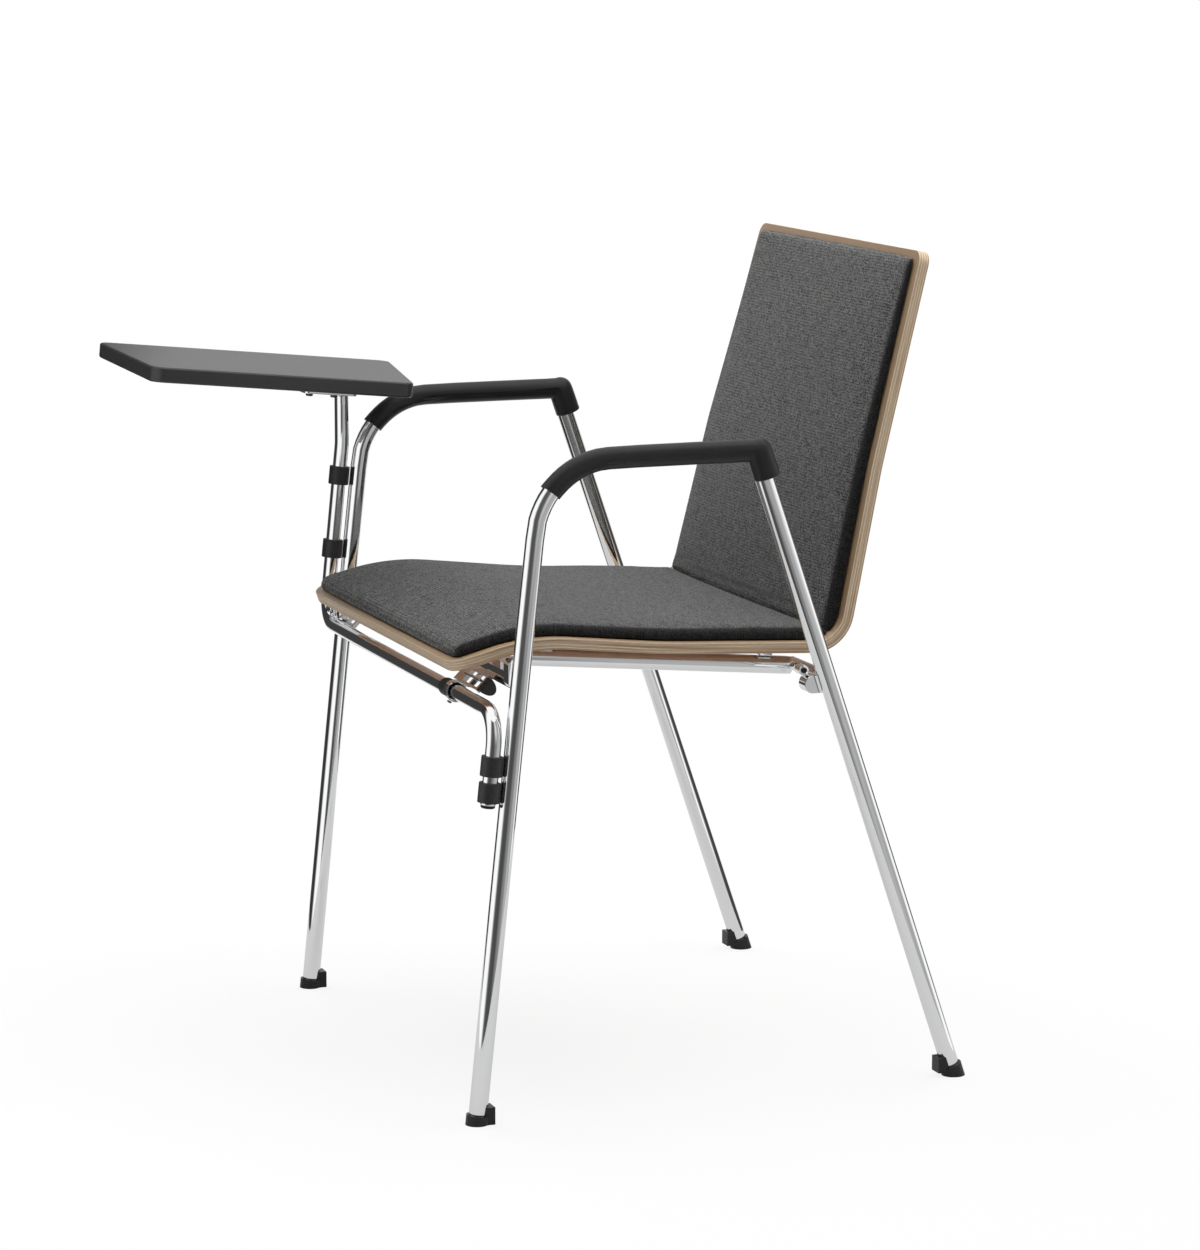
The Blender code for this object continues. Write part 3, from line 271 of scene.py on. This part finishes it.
def blend_colour(tree, amount, first, second, mode="MIX"):
    """The result of mixing two colours, which are sockets 6 and 7 of a Mix node."""
    node = add_node(tree, "Mix", {}, data_type="RGBA", blend_type=mode)
    plug(tree, node.inputs[0], amount)
    plug(tree, node.inputs[6], first)
    plug(tree, node.inputs[7], second)
    return node.outputs[2]


def spread(tree, value, low, high, to_low=0.0, to_high=1.0):
    """A value carried from one range to another, held within its ends."""
    node = add_node(tree, "MapRange", {0: value, 1: low, 2: high, 3: to_low, 4: to_high})
    return node.outputs[0]


def noise(tree, where, scale, detail=2.0, roughness=0.5):
    """Soft noise of a given count per metre."""
    inputs = {"Vector": where, "Scale": scale, "Detail": detail, "Roughness": roughness}
    return add_node(tree, "TexNoise", inputs).outputs["Fac"]


def stretched(tree, where, across, along, deep):
    """A place with its three directions stretched apart."""
    return add_node(tree, "Mapping", {"Vector": where, "Scale": (across, along, deep)}).outputs[0]


def tinted(tree, share, tones):
    """A colour between two tones."""
    return blend_colour(tree, share, colour(*tones[0]), colour(*tones[1]))


def roughen(tree, shader, grain, ends):
    """Roughness that follows a grain between its two ends."""
    plug(tree, shader.inputs["Roughness"], spread(tree, grain, *NOISE_RANGE, *ends))


def raise_surface(tree, shader, height, distance, strength):
    """Fine relief on the surface."""
    bump = add_node(tree, "Bump", {"Height": height, "Distance": distance, "Strength": strength})
    plug(tree, shader.inputs["Normal"], bump.outputs[0])


def show(tree, surface):
    """Makes a shader's output the material's surface."""
    output = next(node for node in tree.nodes if node.type == "OUTPUT_MATERIAL")
    plug(tree, output.inputs["Surface"], surface)


def seen_rays(tree, path):
    """1 for what the camera, gloss or glass sees, 0 for plain light."""
    mirrored = math_node(tree, "MAXIMUM", path.outputs["Is Camera Ray"], path.outputs["Is Glossy Ray"])
    return math_node(tree, "MAXIMUM", mirrored, path.outputs["Is Transmission Ray"])


def colour(red, green, blue):
    """A colour given as it looks on a screen, 0 to 255, as the renderer's linear values."""
    def linear(level):
        share = level / 255.0
        return share / 12.92 if share <= 0.04045 else ((share + 0.055) / 1.055) ** 2.4
    return (linear(red), linear(green), linear(blue), 1.0)


# Materials

def chrome_material():
    """Polished chrome plating with a faint cloud in its polish."""
    material, tree, shader = new_material("chrome")
    place = add_node(tree, "TexCoord", {}).outputs["Object"]
    cloud = noise(tree, place, CHROME_CLOUD, detail=CLOUD_DETAIL)
    plug(tree, shader.inputs["Base Color"], tinted(tree, cloud, CHROME_TONES))
    shader.inputs["Metallic"].default_value = 1.0
    roughen(tree, shader, cloud, CHROME_ROUGHNESS)
    raise_surface(tree, shader, noise(tree, place, CHROME_GRAIN), *CHROME_RELIEF)
    return material


def plastic_material():
    """Satin black moulded plastic with a fine grain."""
    material, tree, shader = new_material("black_plastic")
    place = add_node(tree, "TexCoord", {}).outputs["Object"]
    grain = noise(tree, place, PLASTIC_GRAIN)
    cloud = noise(tree, place, PLASTIC_CLOUD, detail=CLOUD_DETAIL)
    plug(tree, shader.inputs["Base Color"], tinted(tree, cloud, PLASTIC_TONES))
    shader.inputs["Specular IOR Level"].default_value = PLASTIC_GLOSS
    roughen(tree, shader, grain, PLASTIC_ROUGHNESS)
    raise_surface(tree, shader, grain, *PLASTIC_RELIEF)
    return material


def rubber_material():
    """Matt black rubber."""
    material, tree, shader = new_material("black_rubber")
    place = add_node(tree, "TexCoord", {}).outputs["Object"]
    grain = noise(tree, place, RUBBER_GRAIN, detail=CLOUD_DETAIL)
    plug(tree, shader.inputs["Base Color"], tinted(tree, grain, RUBBER_TONES))
    roughen(tree, shader, grain, RUBBER_ROUGHNESS)
    raise_surface(tree, shader, grain, *RUBBER_RELIEF)
    return material


def board_material():
    """Anthracite laminate with a fine pebbled surface."""
    material, tree, shader = new_material("anthracite_board")
    place = add_node(tree, "TexCoord", {}).outputs["Object"]
    pebble = noise(tree, place, BOARD_PEBBLE)
    cloud = noise(tree, place, BOARD_CLOUD, detail=CLOUD_DETAIL)
    plug(tree, shader.inputs["Base Color"], tinted(tree, cloud, BOARD_TONES))
    roughen(tree, shader, pebble, BOARD_ROUGHNESS)
    raise_surface(tree, shader, pebble, *BOARD_RELIEF)
    return material


def steel_material():
    """Dark satin steel, brushed one way."""
    material, tree, shader = new_material("dark_steel")
    place = add_node(tree, "TexCoord", {}).outputs["Object"]
    brush = noise(tree, stretched(tree, place, *STEEL_BRUSH), 1.0)
    plug(tree, shader.inputs["Base Color"], tinted(tree, brush, STEEL_TONES))
    shader.inputs["Metallic"].default_value = STEEL_METALLIC
    roughen(tree, shader, brush, STEEL_ROUGHNESS)
    return material


def plywood_material(thickness):
    """Clear-lacquered plywood: veneer figure on its faces, thin layers on its edges."""
    material, tree, shader = new_material("plywood")
    place = add_node(tree, "Attribute", {}, attribute_name="developed").outputs["Vector"]
    parts = add_node(tree, "SeparateXYZ", {0: place})
    height = parts.outputs[2]
    below = math_node(tree, "MULTIPLY", height, -1.0)
    above = math_node(tree, "ADD", height, thickness)
    layer = math_node(tree, "MULTIPLY", above, PLY_COUNT / thickness)
    turned_layer = math_node(tree, "MODULO", math_node(tree, "FLOOR", layer), 2.0)
    fibre = noise(tree, stretched(tree, place, *FIBRE_COUNTS), 1.0, *FIBRE_NOISE)
    figure = noise(tree, stretched(tree, place, *FIGURE_COUNTS), 1.0, *FIGURE_NOISE)
    end_grain = noise(tree, stretched(tree, place, *END_GRAIN_COUNTS), 1.0, *END_GRAIN_NOISE)
    streak = noise(tree, stretched(tree, place, *STREAK_COUNTS), 1.0, *STREAK_NOISE)
    fibre_share = spread(tree, fibre, *NOISE_RANGE)
    figured = spread(tree, figure, *FIGURE_RANGE, 0.0, FIGURE_SHARE)
    veneer = blend_colour(tree, figured, tinted(tree, fibre_share, VENEER_TONES), colour(*FIGURE_TONE))
    cross_ply = tinted(tree, spread(tree, end_grain, *NOISE_RANGE), CROSS_PLY_TONES)
    layers = blend_colour(tree, turned_layer, veneer, cross_ply)
    glue = spread(tree, math_node(tree, "PINGPONG", layer, 0.5), 0.0, GLUE_WIDTH, GLUE_SHARE, 0.0)
    glued = blend_colour(tree, glue, layers, colour(*GLUE_TONE))
    on_edge = spread(tree, math_node(tree, "MINIMUM", below, above), *STREAK_DEPTHS)
    outer_ply = spread(tree, above, *OUTER_PLY_DEPTHS, OUTER_PLY_SHARE, 0.0)
    darker = math_node(tree, "MAXIMUM", outer_ply, spread(tree, streak, *STREAK_RANGE, 0.0, STREAK_SHARE))
    edged = blend_colour(tree, math_node(tree, "MULTIPLY", on_edge, darker), glued, colour(*STREAK_TONE))
    # Painted shade: the seat part's underside is painted darker brown
    lowest_shaded = spread(tree, above, 0.0, UNDERSIDE_SHADE_DEPTH, 1.0, 0.0)
    under = math_node(tree, "MULTIPLY", lowest_shaded, spread(tree, parts.outputs[1], *UNDERSIDE_SHADE_FADE, 1.0, 0.0))
    shaded_wood = tinted(tree, fibre_share, UNDERSIDE_SHADE_TONES)
    plug(tree, shader.inputs["Base Color"], blend_colour(tree, under, edged, shaded_wood))
    roughen(tree, shader, fibre, PLYWOOD_ROUGHNESS)
    shader.inputs["Coat Weight"].default_value = LACQUER_WEIGHT
    shader.inputs["Coat Roughness"].default_value = LACQUER_ROUGHNESS
    raise_surface(tree, shader, fibre, *PLYWOOD_RELIEF)
    return material


def cloth_material():
    """Heathered charcoal cloth in plain weave, its threads following the pad's own length and width."""
    material, tree, shader = new_material("charcoal_weave")
    place = add_node(tree, "Attribute", {}, attribute_name="developed").outputs["Vector"]
    parts = add_node(tree, "SeparateXYZ", {0: place})
    across = math_node(tree, "DIVIDE", parts.outputs[0], THREAD)
    along = math_node(tree, "DIVIDE", parts.outputs[1], THREAD)
    column = math_node(tree, "FLOOR", across)
    row = math_node(tree, "FLOOR", along)
    warp_on_top = math_node(tree, "PINGPONG", math_node(tree, "ADD", column, row), 1.0)
    warp_round = math_node(tree, "PINGPONG", across, 0.5)
    weft_round = math_node(tree, "PINGPONG", along, 0.5)
    warp_height = math_node(tree, "MULTIPLY", weft_round, THREAD_CROWN)
    warp_shape = math_node(tree, "ADD", warp_round, warp_height)
    weft_height = math_node(tree, "MULTIPLY", warp_round, THREAD_CROWN)
    weft_shape = math_node(tree, "ADD", weft_round, weft_height)
    height = add_node(tree, "Mix", {0: warp_on_top, 2: weft_shape, 3: warp_shape}).outputs[0]

    def fleck(first, second):
        stretch = math_node(tree, "FLOOR", math_node(tree, "DIVIDE", second, FLECK_LENGTH))
        cell = add_node(tree, "CombineXYZ", {0: first, 1: stretch}).outputs[0]
        return add_node(tree, "TexWhiteNoise", {"Vector": cell}, noise_dimensions="2D").outputs["Value"]

    shade = add_node(tree, "Mix", {0: warp_on_top, 2: fleck(row, column), 3: fleck(column, row)}).outputs[0]
    cloud = noise(tree, stretched(tree, place, *MOTTLE_COUNTS), 1.0, *MOTTLE_NOISE)
    mottle = spread(tree, cloud, *MOTTLE_RANGE)
    mixed = add_node(tree, "Mix", {0: MOTTLE_SHARE, 2: shade, 3: mottle}).outputs[0]
    rib = math_node(tree, "PINGPONG", math_node(tree, "DIVIDE", parts.outputs[1], RIB_PITCH / 2), 1.0)
    lift = spread(tree, rib, 0.0, 1.0, -RIB_SHARE, RIB_SHARE)
    tone = math_node(tree, "ADD", spread(tree, mixed, *TONE_RANGE), lift)
    # Painted shade: the cloth's colour darkens where the threads dip low
    gap = spread(tree, height, *GAP_SHADE_HEIGHTS, GAP_SHADE_SHARE, 0.0)
    shaded = blend_colour(tree, gap, tinted(tree, tone, YARN_TONES), colour(*GAP_SHADE_TONE))
    # Painted shade: the cloth is painted darker on the pads' turned-down long sides
    wall_shade = add_node(tree, "Attribute", {}, attribute_name="painted_wall_shade").outputs["Fac"]
    shaded_wall_tone = tinted(tree, tone, WALL_SHADE_TONES)
    plug(tree, shader.inputs["Base Color"], blend_colour(tree, wall_shade, shaded, shaded_wall_tone))
    shader.inputs["Roughness"].default_value = CLOTH_ROUGHNESS
    shader.inputs["Sheen Weight"].default_value = CLOTH_SHEEN
    shader.inputs["Sheen Roughness"].default_value = CLOTH_SHEEN_ROUGHNESS
    shader.inputs["Specular IOR Level"].default_value = CLOTH_GLOSS
    raise_surface(tree, shader, height, *CLOTH_RELIEF)
    return material


# Meshes

def copy_of(node_name, piece_name):
    """A new object with a node's shape as welded quads and flat faces."""
    mesh = frame["nodes"][node_name].data.copy()
    mesh.name = piece_name
    if mesh.has_custom_normals:
        mesh.attributes.remove(mesh.attributes["custom_normal"])
    shape = bmesh.new()
    shape.from_mesh(mesh)
    bmesh.ops.remove_doubles(shape, verts=shape.verts, dist=WELD_DISTANCE)
    bmesh.ops.dissolve_limit(
        shape, angle_limit=FLAT_ANGLE, use_dissolve_boundaries=False, verts=shape.verts, edges=shape.edges)
    bmesh.ops.join_triangles(
        shape, faces=shape.faces, angle_face_threshold=SHARP_ANGLE, angle_shape_threshold=QUAD_ANGLE)
    shape.to_mesh(mesh)
    shape.free()
    mesh.shade_smooth()
    piece = bpy.data.objects.new(piece_name, mesh)
    bpy.context.scene.collection.objects.link(piece)
    return piece


def stand_for(piece, node_name, material):
    """The piece takes a node's place, body and finish."""
    piece.data.materials.clear()
    piece.data.materials.append(material)
    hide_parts(node_name)
    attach(piece, frame["nodes"][node_name]["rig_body"])


def ease_edges(piece, width):
    """Rounds the sharp edges a little, so that they catch the light."""
    bevel = piece.modifiers.new("eased_edges", "BEVEL")
    bevel.width = width
    bevel.segments = EDGE_SEGMENTS
    bevel.limit_method = "ANGLE"
    bevel.angle_limit = SHARP_ANGLE
    bevel.harden_normals = True
    return bevel


def smooth_rounds(piece, levels):
    """Subdivides a turned or bent piece, so that its outline is round."""
    rounds = piece.modifiers.new("rounds", "SUBSURF")
    rounds.levels = levels
    rounds.render_levels = levels


def evaluated_mesh(piece):
    """The piece's mesh with its modifiers applied."""
    graph = bpy.context.evaluated_depsgraph_get()
    return bpy.data.meshes.new_from_object(piece.evaluated_get(graph))


def apply_modifiers(piece):
    """Keeps the modified shape as the piece's own mesh."""
    mesh = evaluated_mesh(piece)
    piece.modifiers.clear()
    piece.data = mesh


# The shell as its flat blank: across from the middle, along from the front edge, height over the face

def shell_line():
    """The plywood's face at its bends, front to top: places, outward directions, distances and sizes."""
    mesh = frame["nodes"]["plywood_shell"].data
    places = np.array([vertex.co for vertex in mesh.vertices])
    middle = (places[:, 0].min() + places[:, 0].max()) / 2
    lap = places.min(axis=0) * (1.0 - LAP_SHARE) + places.max(axis=0) * LAP_SHARE
    places = places[places[:, 0] > middle]
    places = places[np.argsort(places[:, 0])]
    groups = np.split(places, np.flatnonzero(np.diff(places[:, 0]) > SAME_WIDTH) + 1)
    pairs = []
    for group in groups:
        first = group[0, 1:]
        away = np.linalg.norm(group[:, 1:] - first, axis=1)
        second = group[away.argmax(), 1:]
        pairs.append((away.max(), first, second))
    gaps = np.array([gap for gap, first, second in pairs])
    thickness = float(np.percentile(gaps, FACE_PERCENTILE))
    chamfer = (thickness - float(np.percentile(gaps, EDGE_PERCENTILE))) / 2
    stations = []
    for gap, first, second in pairs:
        if abs(gap - thickness) > SAME_GAP:
            continue
        if np.dot(second - first, lap[1:] - first) < 0.0:
            first, second = second, first
        angle = math.atan2(second[1] - lap[2], second[0] - lap[1])
        stations.append((angle, second, (second - first) / gap))
    stations.sort(key=lambda station: station[0])
    points = np.array([point for angle, point, outward in stations])
    outwards = np.array([outward for angle, point, outward in stations])
    steps = np.linalg.norm(np.diff(points, axis=0), axis=1)
    distances = np.concatenate(([0.0], np.cumsum(steps)))
    return {"middle": middle, "points": points, "outwards": outwards, "distances": distances,
            "thickness": thickness, "chamfer": chamfer}


def cross(first, second):
    """How far one plane vector turns from another."""
    return first[..., 0] * second[..., 1] - first[..., 1] * second[..., 0]


def flattened(places, line):
    """Places on or near the shell, moved to its flat blank."""
    starts = line["points"][:-1]
    runs = np.diff(line["points"], axis=0)
    normals = line["outwards"][:-1]
    bends = np.diff(line["outwards"], axis=0)
    steps = np.diff(line["distances"])
    flat = np.empty_like(places)
    for index, place in enumerate(places):
        offset = place[1:] - starts
        constant = cross(offset, normals)
        linear = cross(offset, bends) - cross(runs, normals)
        square = -cross(runs, bends)
        share = -constant / linear
        for _ in range(SEARCH_ROUNDS):
            miss = constant + linear * share + square * share ** 2
            share = share - miss / (linear + 2.0 * square * share)
        held = np.clip(share, 0.0, 1.0)
        outward = normals + bends * held[:, None]
        outward = outward / np.linalg.norm(outward, axis=1)[:, None]
        rest = offset - runs * held[:, None]
        height = (rest * outward).sum(axis=1)
        stray = np.abs(cross(rest, outward)) + HEIGHT_PENALTY * np.abs(height)
        best = int(stray.argmin())
        along = line["distances"][best] + share_within(share[best], best, len(steps)) * steps[best]
        flat[index] = (place[0] - line["middle"], along, height[best])
    return flat


def share_within(share, index, count):
    """A share of one step; only the first and last step may be left at their open ends."""
    low = -1.0 if index == 0 else 0.0
    high = 2.0 if index == count - 1 else 1.0
    return min(max(share, low), high)


def curled(flat, line):
    """Places on the flat blank, bent along a smooth line through the shell's bends."""
    points = line["points"]
    headings = np.stack((line["outwards"][:, 1], -line["outwards"][:, 0]), axis=1)
    distances = line["distances"]
    along = np.clip(flat[:, 1], distances[0], distances[-1])
    before = np.clip(np.searchsorted(distances, along, side="right") - 1, 0, len(distances) - 2)
    step = (distances[before + 1] - distances[before])[:, None]
    share = (along - distances[before])[:, None] / step
    start, end = points[before], points[before + 1]
    leave, arrive = headings[before] * step, headings[before + 1] * step
    square, cube = share ** 2, share ** 3
    on_line = start * (2 * cube - 3 * square + 1) + end * (3 * square - 2 * cube)
    on_line = on_line + leave * (cube - 2 * square + share) + arrive * (cube - square)
    heading = (start - end) * (6 * square - 6 * share)
    heading = heading + leave * (3 * square - 4 * share + 1) + arrive * (3 * square - 2 * share)
    heading = heading / np.linalg.norm(heading, axis=1)[:, None]
    outward = np.stack((-heading[:, 1], heading[:, 0]), axis=1)
    on_line = on_line + heading * (flat[:, 1] - along)[:, None] + outward * flat[:, 2:]
    return np.concatenate((flat[:, :1] + line["middle"], on_line), axis=1)


def vertex_places(piece):
    """The piece's points as an array."""
    places = np.empty(len(piece.data.vertices) * 3)
    piece.data.vertices.foreach_get("co", places)
    return places.reshape(-1, 3)


def set_places(piece, places):
    """Moves the piece's points."""
    piece.data.vertices.foreach_set("co", places.ravel())
    piece.data.update()


def curl(piece, line):
    """Keeps each point's place on the flat blank for the materials, then bends the piece into shape."""
    flat = vertex_places(piece)
    layer = piece.data.attributes.new("developed", "FLOAT_VECTOR", "POINT")
    layer.data.foreach_set("vector", flat.ravel())
    set_places(piece, curled(flat, line))


# Pads

def swell(piece):
    """Cloth under a little air pressure, held at its rim, rising less towards its ends and sides."""
    start = vertex_places(piece)
    held = piece.vertex_groups.new(name="held")
    held.add([int(index) for index in np.flatnonzero(start[:, 2] < PAD_HELD_HEIGHT)], 1.0, "REPLACE")
    cloth = piece.modifiers.new("cloth", "CLOTH")
    cloth.settings.vertex_group_mass = "held"
    cloth.settings.use_pressure = True
    cloth.settings.uniform_pressure_force = PAD_PRESSURE
    cloth.settings.effector_weights.gravity = 0.0
    cloth.settings.quality = PAD_QUALITY
    cloth.settings.tension_stiffness = PAD_TENSION
    cloth.settings.bending_stiffness = PAD_BENDING
    cloth.collision_settings.use_collision = False
    scene = bpy.context.scene
    for number in range(1, PAD_FRAMES + 1):
        scene.frame_set(number)
    swollen = evaluated_mesh(piece)
    rise = np.array([vertex.co.z for vertex in swollen.vertices]) - start[:, 2]
    scene.frame_set(1)
    piece.modifiers.remove(cloth)
    piece.vertex_groups.remove(held)
    bpy.data.meshes.remove(swollen)
    from_ends = np.minimum(start[:, 1] - start[:, 1].min(), start[:, 1].max() - start[:, 1])
    from_sides = np.abs(start[:, 0]).max() - np.abs(start[:, 0])
    calm = np.clip(np.minimum(from_ends / PAD_CALM_END, from_sides / PAD_CALM_SIDE), 0.0, 1.0)
    start[:, 2] += np.clip(rise, 0.0, PAD_SWELL_LIMIT) * calm
    set_places(piece, start)


def make_pad(node_name, piece_name, line, material):
    """A foam pad under stretched cloth, swollen a little between its rims."""
    piece = copy_of(node_name, piece_name)
    flat = flattened(vertex_places(piece), line)
    flat[:, 0] *= 1.0 + PAD_SIDE_SWELL / np.abs(flat[:, 0]).max()
    set_places(piece, flat)
    smooth_rounds(piece, PAD_LEVELS)
    apply_modifiers(piece)
    normals = np.array([normal.vector for normal in piece.data.vertex_normals])
    swell(piece)
    # Painted shade: a mask of the pads' long sides, where the cloth's colour is painted darker
    wall_shade = np.clip((np.abs(normals[:, 0]) - WALL_SHADE_START) / (WALL_SHADE_FULL - WALL_SHADE_START), 0.0, 1.0)
    layer = piece.data.attributes.new("painted_wall_shade", "FLOAT", "POINT")
    layer.data.foreach_set("value", wall_shade * WALL_SHADE_AMOUNT)
    curl(piece, line)
    piece.data.shade_smooth()
    stand_for(piece, node_name, material)


# Plywood shell

def make_shell(line):
    """The bent plywood: the flat blank with finely eased edges, cut into short steps and bent."""
    piece = copy_of("plywood_shell", "plywood_shell_veneer")
    flat = flattened(vertex_places(piece), line)
    depth = line["thickness"]
    on_face = (np.abs(flat[:, 2]) < SAME_GAP) | (np.abs(flat[:, 2] + depth) < SAME_GAP)
    flat[on_face, 0] += np.sign(flat[on_face, 0]) * line["chamfer"]
    flat[:, 2] = np.where(flat[:, 2] > -depth / 2, 0.0, -depth)
    set_places(piece, flat)
    shape = bmesh.new()
    shape.from_mesh(piece.data)
    bmesh.ops.remove_doubles(shape, verts=shape.verts, dist=SAME_GAP)
    bmesh.ops.dissolve_limit(shape, angle_limit=FLAT_ANGLE, verts=shape.verts, edges=shape.edges)
    shape.to_mesh(piece.data)
    shape.free()
    bevel = ease_edges(piece, SHELL_EDGE)
    bevel.segments = SHELL_EDGE_SEGMENTS
    bevel.angle_limit = SHELL_SHARP_ANGLE
    bevel.harden_normals = False
    apply_modifiers(piece)
    shape = bmesh.new()
    shape.from_mesh(piece.data)
    length = line["distances"][-1]
    for along in np.arange(SHELL_STEP, length, SHELL_STEP):
        everything = shape.verts[:] + shape.edges[:] + shape.faces[:]
        bmesh.ops.bisect_plane(shape, geom=everything, plane_co=(0.0, along, 0.0), plane_no=(0.0, 1.0, 0.0))
    shape.to_mesh(piece.data)
    shape.free()
    curl(piece, line)
    piece.data.shade_smooth()
    piece.data.set_sharp_from_angle(angle=SHELL_SHARP_ANGLE)
    stand_for(piece, "plywood_shell", plywood_material(depth))


# Stage

def make_floor():
    """A white floor that glows enough to read as paper white, yet keeps a soft shadow."""
    mesh = bpy.data.meshes.new("floor")
    half = FLOOR_HALF_WIDTH
    corners = [(-half, -half, 0), (half, -half, 0), (half, half, 0), (-half, half, 0)]
    mesh.from_pydata(corners, [], [(0, 1, 2, 3)])
    floor = bpy.data.objects.new("floor", mesh)
    bpy.context.scene.collection.objects.link(floor)
    material, tree, shader = new_material("paper_floor")
    shader.inputs["Base Color"].default_value = FLOOR_COLOUR
    shader.inputs["Roughness"].default_value = FLOOR_ROUGHNESS
    shader.inputs["Specular IOR Level"].default_value = 0.0
    path = add_node(tree, "LightPath", {})
    strength = spread(tree, path.outputs["Is Glossy Ray"], 0.0, 1.0, 1.0, FLOOR_MIRRORED)
    glow = add_node(tree, "Emission", {"Color": WHITE, "Strength": strength})
    mixed = add_node(tree, "MixShader", {})
    seen = seen_rays(tree, path)
    place = add_node(tree, "TexCoord", {}).outputs["Object"]
    away = add_node(tree, "VectorMath", {0: place}, operation="LENGTH").outputs["Value"]
    share = spread(tree, away, FLOOR_NEAR, FLOOR_FAR, FLOOR_NEAR_GLOW, 1.0)
    plug(tree, mixed.inputs[0], math_node(tree, "MULTIPLY", seen, share))
    plug(tree, mixed.inputs[1], shader.outputs[0])
    plug(tree, mixed.inputs[2], glow.outputs[0])
    show(tree, mixed.outputs[0])
    mesh.materials.append(material)


def direction(azimuth, elevation):
    """The way from the object to a camera or lamp there."""
    level = math.cos(elevation)
    return Vector((math.sin(azimuth) * level, -math.cos(azimuth) * level, math.sin(elevation)))


def look_at(thing, place, target):
    """Puts a camera or lamp in its place, facing the target."""
    thing.location = place
    thing.rotation_euler = (target - place).to_track_quat("-Z", "Y").to_euler()
    bpy.context.scene.collection.objects.link(thing)


def make_world():
    """White where it is seen or mirrored, a gentle fill elsewhere."""
    world = bpy.data.worlds.new("studio")
    bpy.context.scene.world = world
    world.use_nodes = True
    tree = world.node_tree
    back = tree.nodes["Background"]
    path = add_node(tree, "LightPath", {})
    seen = seen_rays(tree, path)
    back.inputs["Color"].default_value = WHITE
    plug(tree, back.inputs["Strength"], spread(tree, seen, 0.0, 1.0, WORLD_FILL, 1.0))


def make_lamp(name, watts, size, place, target):
    """One soft square lamp."""
    data = bpy.data.lights.new(name, "AREA")
    data.energy = watts
    data.size = size
    lamp = bpy.data.objects.new(name, data)
    look_at(lamp, place, target)
    lamp.visible_glossy = False


def make_ring():
    """Soft boxes and dark flags round the set, as one upright band seen only in gloss."""
    angles = list(range(-180, 180, RING_STEP))
    stops, low_levels, high_levels = zip(*RING_STOPS)
    low = np.interp(angles, stops, low_levels)
    high = np.interp(angles, stops, high_levels)
    corners = []
    brightness = []
    for height, share in zip(RING_HEIGHTS, RING_HIGH_SHARES):
        for angle in angles:
            outward = direction(CAMERA_AZIMUTH + math.radians(angle), 0.0)
            corners.append(outward * RING_RADIUS + Vector((0.0, 0.0, height)))
        brightness.extend(low + (high - low) * share)
    count = len(angles)
    faces = []
    for row in range(len(RING_HEIGHTS) - 1):
        for k in range(count):
            here = row * count + k
            after = row * count + (k + 1) % count
            faces.append((here, after, after + count, here + count))
    mesh = bpy.data.meshes.new("reflection_ring")
    mesh.from_pydata(corners, [], faces)
    mesh.attributes.new("brightness", "FLOAT", "POINT").data.foreach_set("value", brightness)
    ring = bpy.data.objects.new("reflection_ring", mesh)
    bpy.context.scene.collection.objects.link(ring)
    material, tree, shader = new_material("reflection_ring")
    tree.nodes.remove(shader)
    level = add_node(tree, "Attribute", {}, attribute_name="brightness").outputs["Fac"]
    glow = add_node(tree, "Emission", {"Color": WHITE, "Strength": level})
    show(tree, glow.outputs[0])
    mesh.materials.append(material)
    ring.visible_camera = False
    ring.visible_diffuse = False
    ring.visible_shadow = False
    ring.visible_transmission = False


def make_camera():
    """The photograph's camera."""
    data = bpy.data.cameras.new("camera")
    data.lens = CAMERA_LENS_MM
    data.sensor_width = CAMERA_SENSOR_MM
    camera = bpy.data.objects.new("camera", data)
    place = CAMERA_TARGET + direction(CAMERA_AZIMUTH, CAMERA_ELEVATION) * CAMERA_DISTANCE
    look_at(camera, place, CAMERA_TARGET)
    bpy.context.scene.camera = camera


def make_stage():
    """Floor, light, reflections and camera."""
    make_world()
    make_floor()
    centre = Vector(CAMERA_TARGET)
    top_place = Vector((centre.x, centre.y + TOP_LIGHT_BEHIND, TOP_LIGHT_HEIGHT))
    make_lamp("top_light", TOP_LIGHT_WATTS, TOP_LIGHT_SIZE, top_place, centre)
    key_place = centre + direction(KEY_LIGHT_AZIMUTH, KEY_LIGHT_ELEVATION) * KEY_LIGHT_DISTANCE
    make_lamp("key_light", KEY_LIGHT_WATTS, KEY_LIGHT_SIZE, key_place, centre)
    make_ring()
    make_camera()


# Everything else keeps the solid's shape with finer edges and rounds

def make_hard_pieces(materials):
    """Every rigid node but the shell, with eased edges and round tubes."""
    made_apart = ("plywood_shell", "seat_pad", "back_pad")
    for name in sorted(frame["nodes"]):
        if name in made_apart:
            continue
        piece = copy_of(name, name + "_finish")
        if any(word in name for word in CAST_WORDS) and "plug" not in name:
            ease_edges(piece, CAST_EDGE)
        else:
            ease_edges(piece, TURNED_EDGE)
            smooth_rounds(piece, 1)
        stand_for(piece, name, materials[slot_of[name]])


shell = shell_line()
cloth = cloth_material()
make_shell(shell)
make_pad("seat_pad", "seat_pad_cover", shell, cloth)
make_pad("back_pad", "back_pad_cover", shell, cloth)
make_hard_pieces({
    "chrome": chrome_material(),
    "black_plastic": plastic_material(),
    "black_rubber": rubber_material(),
    "anthracite_board": board_material(),
    "dark_steel": steel_material(),
})
make_stage()
bpy.context.scene.view_settings.view_transform = "Standard"
